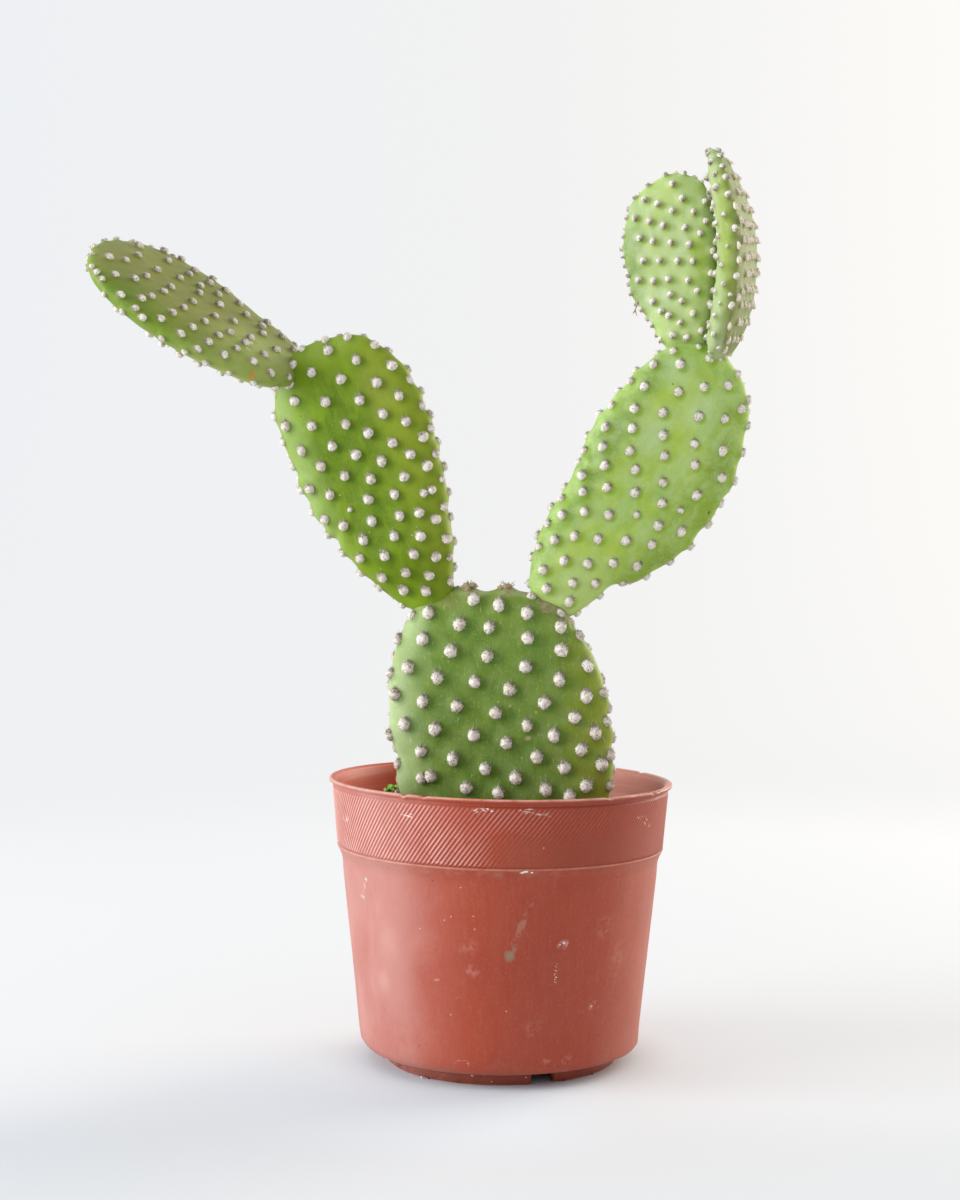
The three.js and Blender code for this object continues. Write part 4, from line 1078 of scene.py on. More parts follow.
    # small nicks and dents in the lip, and a slight unevenness of the moulding
    for deg, depth, wide in ((-33.0, 0.6, 0.8), (-25.6, 0.35, 1.0), (35.8, 0.3, 1.0), (57.0, 0.55, 1.0), (61.0, 0.4, 0.7), (118.0, 0.6, 1.2), (-141.0, 0.45, 1.0), (171.0, 0.4, 2.0)):
        f = np.degrees(np.arctan2(P[:, 0], -P[:, 1]))
        e = (f - deg + 180) % 360 - 180
        near = np.exp(-((e * 0.916 / wide) ** 2)) * smooth(84.0, 85.4, P[:, 2]) * (r > 50)
        P[:, 2] -= depth * near
        P[:, :2] *= (1 - 0.4 * depth * near / np.maximum(r, 1))[:, None]
    wob = (0.13 * noise(P, 26.0, 41) + 0.035 * noise(P * [1, 1, 0.35], 6.0, 43)) * smooth(42.4, 42.9, r) * smooth(85.9, 84.0, P[:, 2])
    P[:, :2] *= (1 + wob / np.maximum(r, 1))[:, None]
    deg = np.degrees(np.arctan2(P[:, 0], -P[:, 1]))
    inside = np.zeros(len(P))
    first_in = high[10][0]
    inside[first_in:] = 1
    inside[-2:] = [0, 1]
    P = warp(P)
    return P, quads, np.vstack(Q6), np.vstack(T), dict(wrap=W, rib=R, inside=inside)


def pot_material():
    k = Nodes("terracotta plastic")
    wrap = k.attr("wrap", vector=True)  # millimetres round the pot from the front, and height
    sep = k.nt.nodes.new("ShaderNodeSeparateXYZ")
    k.link(wrap, sep.inputs[0])
    z = sep.outputs["Y"]
    # at the back the way round is worked out from the place itself, so that it doesn't run back to the front across the last column
    here = k.nt.nodes.new("ShaderNodeSeparateXYZ")
    k.link(k.coords, here.inputs[0])
    back = k.math("GREATER_THAN", here.outputs["Y"], 0.0)
    behind = k.mul(k.math("ARCTAN2", here.outputs["X"], k.mul(here.outputs["Y"], -1.0)), 50.0)
    way = k.add(k.mul(back, behind), k.mul(k.math("SUBTRACT", 1.0, back), sep.outputs["X"]))
    both = k.nt.nodes.new("ShaderNodeCombineXYZ")
    k.link(way, both.inputs["X"])
    k.link(z, both.inputs["Y"])
    k.link(sep.outputs["Z"], both.inputs["Z"])
    wrap = both.outputs[0]
    s = k.mul(k.math("SINE", k.math("DIVIDE", way, 50.0)), 50.0)  # the same at the back from both sides
    inside = k.attr("inside")
    rib = k.attr("rib")
    # vertical streaks of the moulding, soft clouds and fine speckle
    streak = k.noise(300, 4, 0.6, vector=k.vmath("MULTIPLY", k.coords, (1.0, 1.0, 0.07)))
    cloud = k.noise(40, 4, 0.6, distort=0.5)
    small = k.noise(230, 4, 0.65, distort=0.4)
    speck = k.noise(1100, 3, 0.7)
    color = k.mix(k.ramp(cloud, 0.36, 0.66), 0xA63F1E, 0x9E391B)
    color = k.mix(k.ramp(streak, 0.4, 0.7, 0.0, 0.3), color, 0xA64B32)
    color = k.mix(k.ramp(small, 0.5, 0.78, 0.0, 0.22), color, 0xA8553D)
    color = k.mix(k.ramp(speck, 0.52, 0.74, 0.0, 0.42), color, 0x84311D)
    color = k.mix(k.ramp(speck, 0.46, 0.28, 0.0, 0.3), color, 0xBC6A50)
    scratch = k.noise(1100, 3, 0.65, vector=k.vmath("MULTIPLY", k.coords, (1.0, 1.0, 0.035)))
    color = k.mix(k.ramp(scratch, 0.52, 0.74, 0.0, 0.22), color, 0xB9634A)
    color = k.mix(k.ramp(scratch, 0.46, 0.28, 0.0, 0.2), color, 0x8A321A)
    # dusty haze and painted sheen: a pale haze, thickest on the left, where it also stands in for the left window's
    # sheen, and on the ribs' crests
    left = k.ramp(s, 2, -42)
    haze = k.ramp(k.noise(46, 5, 0.6, vector=k.vmath("MULTIPLY", k.coords, (1.0, 1.0, 0.5)), distort=0.15), 0.26, 0.76)
    dust_and_sheen = k.mul(k.ramp(left, 0, 1, 0.1, 1.0), k.ramp(haze, 0, 1, 0.4, 1.0), k.math("SUBTRACT", 1.0, inside), k.ramp(z, 0, 20, 0.88, 1.0))
    # painted light: a warm paleness on the right of the wall, where the right window grazes it
    right = k.mul(k.ramp(s, 28, 48), k.ramp(haze, 0, 1, 0.4, 1.0))
    upper = k.ramp(z, 65.6, 66.6)
    crest = k.mul(k.ramp(rib, 0.4, 1.0), k.ramp(s, 16, -20, 0.16, 0.95), k.ramp(small, 0.3, 0.6, 0.45, 1.0))
    color = k.mix(k.mul(dust_and_sheen, k.ramp(z, 64, 66, 0.5, 0.4)), color, 0xD0A499)
    color = k.mix(k.mul(right, k.ramp(z, 64, 66, 0.22, 0.06)), color, 0xC98F75)
    # painted sheen: paler still along the far left of the outside
    color = k.mix(k.mul(k.ramp(s, -24, -44), k.math("SUBTRACT", 1.0, inside), k.ramp(haze, 0, 1, 0.16, 0.24)), color, 0xD4B4B0)
    # browner on the lower band, from the middle towards the right
    lower_band_brown = k.mul(upper, k.ramp(s, -12, 4), k.ramp(s, 46, 31), k.ramp(z, 78, 72), k.ramp(small, 0.3, 0.6))
    color = k.mix(k.mul(lower_band_brown, 0.3), color, 0x865038)
    # painted shade: the band darker towards the right, away from the left window
    color = k.mix(k.mul(upper, k.ramp(s, -4, 30), 0.35), color, 0x7C2C16)
    color = k.mix(k.mul(crest, 0.68), color, 0xE6B4AA)
    # painted shade in the ribs' furrows
    color = k.mix(k.mul(k.ramp(rib, 0.5, -0.5), k.ramp(s, 40, 28, 0.25, 0.5)), color, 0x94301F)
    # the band's lower edge and the lip's top edge are rubbed pale
    rub = k.ramp(small, 0.3, 0.6, 0.35, 1.0)
    low_edge = k.mul(k.ramp(z, 65.15, 65.5), k.ramp(z, 66.1, 65.8), rub)
    color = k.mix(k.mul(low_edge, 0.3), color, 0xDCA890)
    beneath = k.mul(k.ramp(z, 62.2, 64.6), k.ramp(z, 65.4, 65.0), k.ramp(k.noise(300, 3, 0.6), 0.42, 0.68), k.ramp(s, 30, 0, 0.25, 1.0))
    color = k.mix(k.mul(beneath, 0.3), color, 0xB08672)
    top_edge = k.mul(k.ramp(z, 85.2, 85.75), k.math("SUBTRACT", 1.0, inside), rub)
    color = k.mix(k.mul(top_edge, 0.55), color, 0xE8B9A6)
    # a dusting of soil low on the wall, on the foot ring and under the pot, and darker towards the bottom
    low = k.mul(k.ramp(z, 14, 3), k.ramp(k.noise(160, 4, 0.7), 0.42, 0.7), 0.4)
    color = k.mix(low, color, 0x9A6450)
    color = k.mix(k.mul(k.ramp(z, 4.6, 3.4), k.ramp(small, 0.3, 0.62, 0.35, 0.75)), color, 0x7A3A2A)
    # the inside is redder, with water lines. Painted light: orange on its left side for the warm light from the right,
    # and a paler red on its right side for the left window's light. It is darker lower down.
    rings = k.noise(1100, 3, 0.5, vector=k.vmath("MULTIPLY", k.coords, (0.012, 0.012, 1.0)))
    color = k.mix(k.mul(inside, k.ramp(s, 20, -20), 0.9), color, 0xB83C00)
    color = k.mix(k.mul(inside, k.ramp(s, 8, 40), 0.6), color, 0xE0988A)
    color = k.mix(k.mul(inside, k.ramp(rings, 0.45, 0.6, 0.0, 1.0), k.ramp(s, -20, 30, 0.16, 0.4)), color, 0xD09A80)
    color = k.mix(k.mul(inside, k.ramp(z, 78, 70, 0.0, 0.3)), color, 0x8A3A24)

    grains = {500: k.noise(500, 3, 0.65), 800: k.noise(800, 3, 0.65)}
    warped = k.vmath("ADD", wrap, k.vmath("MULTIPLY", k.vmath("SUBTRACT", k.noise(330, 3, 0.6, color=True), (0.5, 0.5, 0.5)), (2.2, 2.2, 0)))

    outer = k.math("SUBTRACT", 1.0, inside)

    def mark(at, height, half, high, turn, tint, strength, broken=0.0, grain=500, rough=False, soft=0.45):
        nonlocal color
        # a trace of the colour so far goes in with the place, so that the marks are worked out one after another
        place = k.nt.nodes.new("ShaderNodeVectorMath")
        place.operation = "MULTIPLY_ADD"
        k.link(color, place.inputs[0])
        place.inputs[1].default_value = (1e-6, 1e-6, 0)
        k.link(warped if rough else wrap, place.inputs[2])
        v = k.mapped(place.outputs[0], (at * 50.0 * math.pi / 180, height, 0), turn, (half, high, 1))
        m = k.ramp(k.vmath("LENGTH", v), 1.0, soft, 0.0, 1.0)
        m = k.mul(m, outer, strength)
        if broken:
            m = k.mul(m, k.ramp(grains[grain], 0.5 - 0.22 * (1 - broken), 0.62))
        color = k.mix(m, color, tint)

    mark(3.0, 40.3, 2.1, 2.3, 0.2, 0x8C7A62, 0.8, rough=True, soft=0.3)  # olive smear and its tail
    mark(4.6, 43.6, 1.6, 4.6, -0.33, 0x9A7A64, 0.6, 0.35, rough=True)
    mark(7.2, 49.5, 1.2, 6.2, -0.36, 0xAE8874, 0.42, 0.4, rough=True)
    mark(10.0, 55.0, 0.8, 3.0, -0.4, 0xB08A78, 0.3, 0.5, rough=True)
    mark(22.2, 43.3, 2.6, 1.9, 0.1, 0xCBA79C, 0.6, 0.7, rough=True)  # pale scuff
    mark(22.6, 43.6, 0.55, 0.4, 0.1, 0xF2E6E0, 0.9)
    mark(21.2, 43.2, 0.35, 0.3, 0.1, 0xF2E6E0, 0.8)
    # a chain of white specks under it
    chain = k.ramp(k.vmath("LENGTH", k.mapped(wrap, (20.3 * 50.0 * math.pi / 180, 34.9, 0), -0.08, (0.95, 4.2, 1))), 1.0, 0.5)
    color = k.mix(k.mul(chain, outer, k.ramp(k.voronoi(2.1, vector=warped), 0.34, 0.22)), color, 0xF0E2DA)
    mark(-56.4, 58.8, 0.8, 0.75, 0.3, 0xC2B5A2, 0.85, rough=True)
    mark(-59.6, 53.2, 2.1, 0.8, 0.1, 0xB5A792, 0.85, rough=True)
    mark(-58.0, 56.0, 0.8, 2.6, -0.35, 0xD9B0A4, 0.4, 0.5, rough=True)
    mark(-10.5, 35.8, 3.0, 2.6, 0.0, 0xC98F80, 0.32, 0.8, rough=True)
    mark(-12.0, 42.6, 4.4, 3.6, 0.2, 0xC58574, 0.3, 0.7, rough=True)
    mark(-24.0, 32.4, 1.1, 0.6, 0.0, 0xCE9484, 0.5, rough=True)
    for a0, h0, w0, z0, t0, strength in ((-50.0, 29.2, 4.6, 5.0, 0.0, 0.3), (-45.0, 41.8, 6.5, 8.4, 0.3, 0.28), (-50.0, 52.0, 4.0, 7.0, 0.1, 0.16), (-30.0, 44.0, 7.0, 4.4, 0.5, 0.14)):
        mark(a0, h0, w0, z0, t0, 0xE0B0A4, 0.55 * strength, rough=True, soft=0.0)
    mark(-16.0, 27.6, 1.7, 0.8, 0.3, 0xCE9488, 0.45, 0.5, rough=True)
    mark(37.5, 23.2, 2.6, 2.2, 0.2, 0xC89480, 0.5, 0.75, rough=True)
    mark(31.5, 22.4, 1.8, 1.2, 0.0, 0xBE8470, 0.4, 0.7, rough=True)
    mark(36.5, 23.6, 0.5, 0.35, 0.4, 0xE2C2B6, 0.7)
    mark(13.0, 18.8, 4.2, 3.8, 0.0, 0xB87260, 0.36, 0.8, rough=True)
    mark(40.0, 47.0, 5.0, 5.0, 0.0, 0xB87A64, 0.3, 0.7, rough=True)
    mark(48.0, 36.0, 4.0, 7.0, 0.0, 0xC08468, 0.3, 0.7, rough=True)
    mark(26.5, 8.4, 2.6, 1.6, 0.5, 0xC08878, 0.4, 0.6, rough=True)
    mark(18.0, 8.4, 2.2, 1.2, 0.0, 0xC48C7C, 0.35, 0.7, rough=True)
    for a0, h0, w0 in ((-15.5, 8.9, 2.9), (-12.6, 8.3, 1.2), (-18.2, 8.1, 1.0)):  # faint scratches low on the wall
        mark(a0, h0, w0, 0.16, 0.08, 0xD9A696, 0.55, 0.4)
    mark(-12.6, 8.0, 0.16, 1.0, 0.1, 0xD9A696, 0.5)
    # the band's scuffs
    mark(55.0, 77.4, 5.2, 1.3, -0.5, 0xDDBBAA, 0.7, 0.85, rough=True)
    mark(52.0, 78.6, 2.6, 0.5, -0.4, 0xE8CDC0, 0.7, 0.6, rough=True)
    mark(-67.5, 75.6, 3.2, 1.4, 0.1, 0xF0D6CE, 0.75, 0.5, rough=True)
    for a0, h0, w0, t0 in ((-33.6, 79.75, 1.5, -0.1), (-31.4, 79.5, 1.5, -0.2), (-30.9, 80.2, 0.7, 0.3)):
        mark(a0, h0, w0, 0.24, t0, 0xF4E4DE, 0.95, 0.2)
    for a0, h0, w0, t0 in ((-8.7, 82.6, 1.0, 0.3), (-6.9, 83.2, 1.5, 0.1), (-5.6, 82.7, 0.8, -0.4), (-4.2, 83.1, 1.3, -0.15), (-7.8, 82.2, 0.6, 0.7), (-3.2, 82.6, 0.7, -0.2),
                           (5.6, 82.9, 0.9, 0.2), (6.9, 82.6, 1.3, 0.0), (8.6, 83.2, 1.5, 0.05), (9.4, 82.2, 1.4, -0.25), (11.9, 81.7, 1.6, -0.1), (14.2, 81.9, 1.0, 0.55), (14.9, 81.2, 0.8, -0.3), (7.4, 82.1, 0.8, 0.4)):
        mark(a0, h0, w0, 0.26, t0, 0xEFE2D8, 0.9, 0.3, grain=800, rough=False)
    mark(7.6, 64.95, 1.25, 0.5, 0.1, 0xEDEAE2, 0.95, rough=True)
    mark(9.9, 64.9, 0.5, 0.34, 0.0, 0xEDEAE2, 0.9)
    mark(-24.9, 68.9, 0.24, 2.6, 0.75, 0xA03A30, 0.6)
    mark(-21.5, 67.2, 2.6, 0.2, 0.06, 0xE3A79C, 0.5)
    mark(-23.8, 67.4, 0.5, 0.5, 0.0, 0x8A2424, 0.85)
    for a0, h0 in ((-24.2, 61.4), (42.2, 29.6), (46.6, 22.8), (41.3, 14.2), (30.0, 8.8), (9.0, 79.9), (-33.0, 12.0), (23.0, 6.4), (27.0, 7.6)):
        mark(a0, h0, 0.36, 0.36, 0, 0x6F2A1E, 0.75)
    for a0, h0 in ((-19.0, 22.4), (-20.2, 50.2), (-17.7, 51.4), (-9.7, 51.8), (-9.3, 48.0), (13.5, 72.0), (-14.0, 60.0), (2.0, 24.0), (-30.0, 47.0)):
        mark(a0, h0, 0.3, 0.3, 0, 0xE2B29E, 0.7)
    k.set(Base_Color=color)
    k.set(Roughness=k.ramp(k.add(k.mul(dust_and_sheen, 0.5), k.mul(speck, 0.5)), 0.1, 0.8, 0.46, 0.66))
    k.bsdf.inputs["Specular IOR Level"].default_value = 0.36
    k.bsdf.inputs["Sheen Weight"].default_value = 0.04
    k.bsdf.inputs["Sheen Roughness"].default_value = 0.5
    k.bsdf.inputs["Subsurface Weight"].default_value = 0.08
    k.bsdf.inputs["Subsurface Radius"].default_value = (1.0, 0.3, 0.15)
    k.bsdf.inputs["Subsurface Scale"].default_value = 0.002
    fine = k.bump(speck, 0.25, 0.0001)
    k.set(Normal=k.bump(k.mix(inside, small, rings), 0.2, 0.0004, fine))
    return k


POT_MAT = pot_material()
P, quads, fives, tris, attrs = build_pot([POT_MAT.mat])
pot = make("pot_shell", P, [quads, fives, tris], [POT_MAT.mat], attrs=attrs)
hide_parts("pot")
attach(pot, "root")
print("pot faces", len(pot.data.polygons))

# ================================================================ soil
SOIL_Z = 71.5


def soil_top(x, y):
    r = np.hypot(x, y)
    z = np.interp(r, [0, 20, 38, 49], [SOIL_Z + 2.4, SOIL_Z + 2.2, SOIL_Z + 1.54, SOIL_Z])
    P = np.stack([x, y, np.zeros_like(x)], -1)
    return z + 0.75 * fbm(P, 9, 3, 51) + 0.3 * fbm(P, 2.2, 2, 53)


def build_soil(mat):
    n = 110
    f, r, x, y = disc_grid(n)
    R = 49.15
    X, Y = R * r * np.sin(f), -R * r * np.cos(f)
    rim = r > 1 - 1e-9
    Z = soil_top(X, Y)
    Z = np.where(rim, SOIL_Z, Z)
    top = np.stack([X, Y, Z], 1)
    i, j = np.meshgrid(np.arange(n), np.arange(n), indexing="ij")
    a = (i * (n + 1) + j).ravel()
    quad = np.stack([a, a + n + 1, a + n + 2, a + 1], 1)
    ids = np.nonzero(rim)[0]
    order = np.argsort(np.mod(f[ids], TAU))
    ring = ids[order]
    g = np.mod(f[ids], TAU)[order]
    V, Q, last = [top], [], ring
    at = len(top)
    for rr, zz in ((48.2, 66.4), (47.5, 64.5), (46.85, 61.8), (44.1, 38.0), (41.1, 9.0), (39.7, 7.0), (37.8, 6.3), (20, 6.15), (12.4, 6.1), (10.4, 3.6), (8.7, 1.75), (4, 1.7), (0.6, 1.7)):
        V.append(np.stack([rr * np.sin(g), -rr * np.cos(g), np.full(len(g), zz)], 1))
        ids = at + np.arange(len(g))
        at += len(g)
        Q.append(np.stack([last, np.roll(last, -1), np.roll(ids, -1), ids], 1))
        last = ids
    V.append(np.array([[0, 0, 1.7]]))
    T = np.stack([last, np.roll(last, -1), np.full(len(last), at)], 1)
    P = warp(np.vstack(V))
    Q = np.vstack([quad, *Q])
    c = P[quad[:, 0]]
    up = np.cross(P[quad[:, 2]] - P[quad[:, 0]], P[quad[:, 3]] - P[quad[:, 1]])[:, 2].mean()
    if up < 0:
        Q[: len(quad)] = Q[: len(quad), ::-1]
    # the side faces must run the other way round from the top's edge
    k = len(quad)
    n0 = np.cross(P[Q[k:, 2]] - P[Q[k:, 0]], P[Q[k:, 3]] - P[Q[k:, 1]])
    mid = P[Q[k:]].mean(1) - [0, 0, 40]
    if (n0 * mid).sum(1).mean() < 0:
        Q[k:] = Q[k:, ::-1]
        T = T[:, ::-1]
    return make("soil_bed", P, [Q, T], [mat])


def lump(rng, size, flat=1.0, rough=0.25, sub=1):
    """An irregular grain, from a twice cut eight-sided ball."""
    V = [[1, 0, 0], [-1, 0, 0], [0, 1, 0], [0, -1, 0], [0, 0, 1], [0, 0, -1]]
    F = [(0, 2, 4), (2, 1, 4), (1, 3, 4), (3, 0, 4), (2, 0, 5), (1, 2, 5), (3, 1, 5), (0, 3, 5)]
    for _ in range(sub):
        mid, G = {}, []
        for a, b, c in F:
            e = []
            for p, q in ((a, b), (b, c), (c, a)):
                key = (min(p, q), max(p, q))
                if key not in mid:
                    mid[key] = len(V)
                    V.append(list(unit((np.array(V[p]) + V[q]) / 2)))
                e.append(mid[key])
            G += [(a, e[0], e[2]), (b, e[1], e[0]), (c, e[2], e[1]), (e[0], e[1], e[2])]
        F = G
    V = np.array(V, float)
    V = V * (1 + rng.uniform(-rough, rough, (len(V), 1)))
    V = V * [1, rng.uniform(0.6, 1.0), flat * rng.uniform(0.6, 1.0)] * size
    a, b = rng.uniform(0, TAU), rng.uniform(-0.5, 0.5)
    ca, sa, cb, sb = math.cos(a), math.sin(a), math.cos(b), math.sin(b)
    return V @ np.array([[ca, -sa, 0], [sa, ca, 0], [0, 0, 1]]) @ np.array([[1, 0, 0], [0, cb, -sb], [0, sb, cb]]), np.array(F)


def soil_materials():
    k = Nodes("potting soil")
    big, fine = k.noise(220, 4, 0.7), k.noise(1300, 4, 0.75)
    color = k.mix(k.ramp(big, 0.35, 0.65), 0x2B1E16, 0x4A3626)
    color = k.mix(k.ramp(fine, 0.5, 0.75, 0, 0.6), color, 0x6A5138)
    k.set(Base_Color=color)
    k.bsdf.inputs["Roughness"].default_value = 0.95
    k.bsdf.inputs["Specular IOR Level"].default_value = 0.2
    k.set(Normal=k.bump(fine, 0.9, 0.0006))
    g = Nodes("mineral grit")
    n, m = g.noise(1500, 3, 0.7), g.noise(260, 2, 0.5)
    color = g.mix(g.ramp(n, 0.35, 0.7), 0xE4DED2, 0xC3B8A6)
    g.set(Base_Color=g.mix(g.ramp(m, 0.5, 0.7, 0, 0.5), color, 0xA89684))
    g.bsdf.inputs["Roughness"].default_value = 0.85
    g.set(Normal=g.bump(n, 0.7, 0.0003))
    b = Nodes("bark chips")
    n = b.noise(700, 5, 0.7, vector=b.vmath("MULTIPLY", b.coords, (1, 1, 4)))
    b.set(Base_Color=b.mix(b.ramp(n, 0.35, 0.68), 0x3D2416, 0x7A4E30))
    b.bsdf.inputs["Roughness"].default_value = 0.85
    b.set(Normal=b.bump(n, 0.8, 0.0005))
    return k.mat, g.mat, b.mat


SOIL, GRIT, BARK = soil_materials()
soil = build_soil(SOIL)
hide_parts("potting_soil")
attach(soil, "root")


def build_crumbs():
    rng = np.random.default_rng(88)
    V, F, M, at = [], [], [], 0
    for k in range(900):
        a, r = rng.uniform(0, TAU), 48.0 * math.sqrt(rng.uniform(0, 1))
        x, y = r * math.sin(a), -r * math.cos(a)
        kind = rng.uniform()
        if kind < 0.74:
            size, flat, rough, m = rng.uniform(0.4, 1.3), 0.8, 0.3, 0
        elif kind < 0.88:
            size, flat, rough, m = rng.uniform(0.5, 1.25), 0.9, 0.2, 1
        else:
            size, flat, rough, m = rng.uniform(0.9, 2.3), 0.32, 0.22, 2
        z = float(soil_top(np.array([x]), np.array([y]))[0])
        c = warp(np.array([[x, y, z + size * 0.12]]))[0]
        if pads["base_pad"].inside(c, 0.2) or math.hypot(c[0] + 37.2, c[1] + 8) < 2.2:
            continue
        v, f = lump(rng, size, flat, rough, 1)
        V.append(v + c)
        F.append(f + at)
        M.append(np.full(len(f), m))
        at += len(v)
    return make("soil_crumbs", np.vstack(V), [np.vstack(F)], [SOIL, GRIT, BARK], face_mats=[np.concatenate(M)], flat=False)


crumbs = build_crumbs()
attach(crumbs, "root")
crusts = build_crusts()
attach(crusts, "root")


def build_grains():
    """Pale grains of grit and a little soil caught at the foot of the pot."""
    rng = np.random.default_rng(12)
    V, F, M, at = [], [], [], 0
    spots = [(-14.5, 35.5, 2.7, 0.5, 1), (9.6, 35.3, 3.4, 0.5, 1), (11.0, 35.5, 2.3, 0.34, 1), (14.0, 35.1, 3.6, 0.42, 1), (-22.0, 35.8, 0.5, 0.34, 0), (30.0, 35.9, 0.4, 0.3, 0), (-37.0, 36.2, 0.4, 0.34, 0), (-41.0, 36.4, 0.4, 0.4, 1), (48.0, 36.0, 0.4, 0.3, 0)]
    for _ in range(46):
        deg = rng.uniform(-180, 180)
        spots.append((deg, 35.35 + rng.uniform(0, 0.3), rng.uniform(0.3, 3.9), rng.uniform(0.1, 0.24), int(rng.uniform() < 0.3)))
    for deg, r, z, size, m in spots:
        g = math.radians(deg)
        v, f = lump(rng, size, 0.95, 0.18, 1)
        V.append(v + [r * math.sin(g), -r * math.cos(g), z])
        F.append(f + at)
        M.append(np.full(len(f), m))
        at += len(v)
    return make("foot_grains", np.vstack(V), [np.vstack(F)], [SOIL, GRIT], face_mats=[np.concatenate(M)], flat=False)


grains = build_grains()
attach(grains, "root")


# ================================================================ seedling and roots
def build_seedling():
    k = Nodes("seedling leaf")
    n = k.noise(700, 3, 0.6)
    vein = k.ramp(k.attr("vein"), 0.0, 1.0)
    color = k.mix(k.ramp(n, 0.35, 0.65), 0x5E9A26, 0x7DB532)
    color = k.mix(k.mul(vein, 0.6), color, 0xA6CF5A)
    k.set(Base_Color=color)
    k.bsdf.inputs["Roughness"].default_value = 0.5
    k.bsdf.inputs["Subsurface Weight"].default_value = 0.2
    k.bsdf.inputs["Subsurface Radius"].default_value = (0.5, 1.0, 0.2)
    k.bsdf.inputs["Subsurface Scale"].default_value = 0.001
    k.set(Normal=k.bump(n, 0.4, 0.0002))
    base = np.array([-34.0, -8.0, 73.3])
    V, F, vein_v, at = [], [], [], 0
    rng = np.random.default_rng(5)

    def sweep(path, radii, seg=10):
        nonlocal at
        path = np.array(path, float)
        pts, rad = [], []
        for i in range(len(path) - 1):
            for s in np.linspace(0, 1, 7)[:-1]:
                pts.append(path[i] * (1 - s) + path[i + 1] * s)
                rad.append(radii[i] * (1 - s) + radii[i + 1] * s)
        pts.append(path[-1])
        rad.append(radii[-1])
        pts = np.array(pts)
        for _ in range(3):
            pts[1:-1] = (pts[:-2] + 2 * pts[1:-1] + pts[2:]) / 4
        d = unit(np.gradient(pts, axis=0))
        x = unit(np.cross(d, [0.3, 0.95, 0.1]))
        y = np.cross(d, x)
        a = np.linspace(0, TAU, seg, endpoint=False)
        rings = [pts[i] + rad[i] * (np.outer(np.cos(a), x[i]) + np.outer(np.sin(a), y[i])) for i in range(len(pts))]
        P = np.vstack([*rings, pts[:1], pts[-1:]])
        m = len(pts)
        for i in range(m - 1):
            for j in range(seg):
                p, q = at + i * seg + j, at + i * seg + (j + 1) % seg
                F.append((p, q, q + seg))
                F.append((p, q + seg, p + seg))
        for j in range(seg):
            F.append((at + m * seg, at + (j + 1) % seg, at + j))
            F.append((at + m * seg + 1, at + (m - 1) * seg + j, at + (m - 1) * seg + (j + 1) % seg))
        V.append(P)
        vein_v.append(np.full(len(P), 0.4))
        at += len(P)

    def leaf(centre, direction, length, width, cup, lift):
        """A small rounded blade with a mid vein, thin at its edge."""
        nonlocal at
        n = 16
        f, r, x, y = disc_grid(n)
        X, Y = r * np.cos(f), r * np.sin(f)
        lx = X * length * (1 - 0.12 * Y**2)
        ly = Y * width * (1 + 0.22 * X - 0.12 * X**2)
        ly = ly * (1 + 0.05 * np.sin(f * 9))
        bow = cup * (ly / width) ** 2 - lift * (X - 0.1) ** 2 * 0.9 - 0.22 * np.exp(-((ly / 0.35) ** 2))
        thick = 0.34 * np.sqrt(np.clip(1 - r**4, 0, 1)) + 0.02
        d = unit(direction)
        side = unit(np.cross([0, 0, 1], d))
        up = np.cross(d, side)
        rim = r > 1 - 1e-9
        top = centre + np.outer(lx, d) + np.outer(ly, side) + np.outer(bow + np.where(rim, 0, thick), up)
        low = centre + np.outer(lx, d) + np.outer(ly, side) + np.outer(bow - thick, up)
        m = (n + 1) ** 2
        idx = np.full(m, -1)
        inner = np.nonzero(~rim)[0]
        idx[inner] = m + np.arange(len(inner))
        idx[rim] = np.nonzero(rim)[0]
        P = np.vstack([top, low[inner]])
        i, j = np.meshgrid(np.arange(n), np.arange(n), indexing="ij")
        a = (i * (n + 1) + j).ravel()
        quad = np.stack([a, a + n + 1, a + n + 2, a + 1], 1)
        Q = np.vstack([quad, idx[quad[:, ::-1]]]) + at
        for q in Q:
            F.append((q[0], q[1], q[2]))
            F.append((q[0], q[2], q[3]))
        v = np.exp(-((ly / 0.3) ** 2)) + 0.5 * np.exp(-((np.mod(X * 4 + np.abs(ly), 1) - 0.5) / 0.14) ** 2)
        V.append(P)
        vein_v.append(np.concatenate([v, v[inner] * 0.5]))
        at += len(P)

    sweep([[0, 0, -3.8], [0.1, 0, 2.5], [0, 0.1, 8.8]], [0.8, 0.68, 0.55])
    for x, y, z, a, b in ((-0.7, -0.8, 10.1, 1.3, 1.2), (1.2, -0.7, 10.9, 1.4, 1.25), (0.4, 1.1, 10.4, 1.4, 1.25), (0.5, -1.1, 10.4, 1.2, 1.0), (0.2, 0.2, 11.1, 0.9, 0.8)):
        sweep([[0, 0, 6.0], [x * 0.35, y * 0.35, z * 0.85], [x * 0.8, y * 0.8, z - 0.1]], [0.45, 0.36, 0.3], 8)
        leaf(np.array([x, y, z]), np.array([x, y, 0.35]), a, b, 0.5, 0.5)
    P = np.vstack(V) + base
    return make("seedling_leaves", P, [np.array(F)], [k.mat], attrs=dict(vein=np.concatenate(vein_v)))


seedling = build_seedling()
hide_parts("seedling")
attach(seedling, "root")


def root_material():
    k = Nodes("root wood")
    n = k.noise(420, 5, 0.7, vector=k.vmath("MULTIPLY", k.coords, (1, 1, 0.3)))
    k.set(Base_Color=k.mix(k.ramp(n, 0.35, 0.65), 0x5A422C, 0x8A6B4A))
    k.bsdf.inputs["Roughness"].default_value = 0.9
    k.set(Normal=k.bump(n, 0.7, 0.0008))
    return k.mat


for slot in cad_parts["root_crown"].material_slots:
    slot.material = root_material()

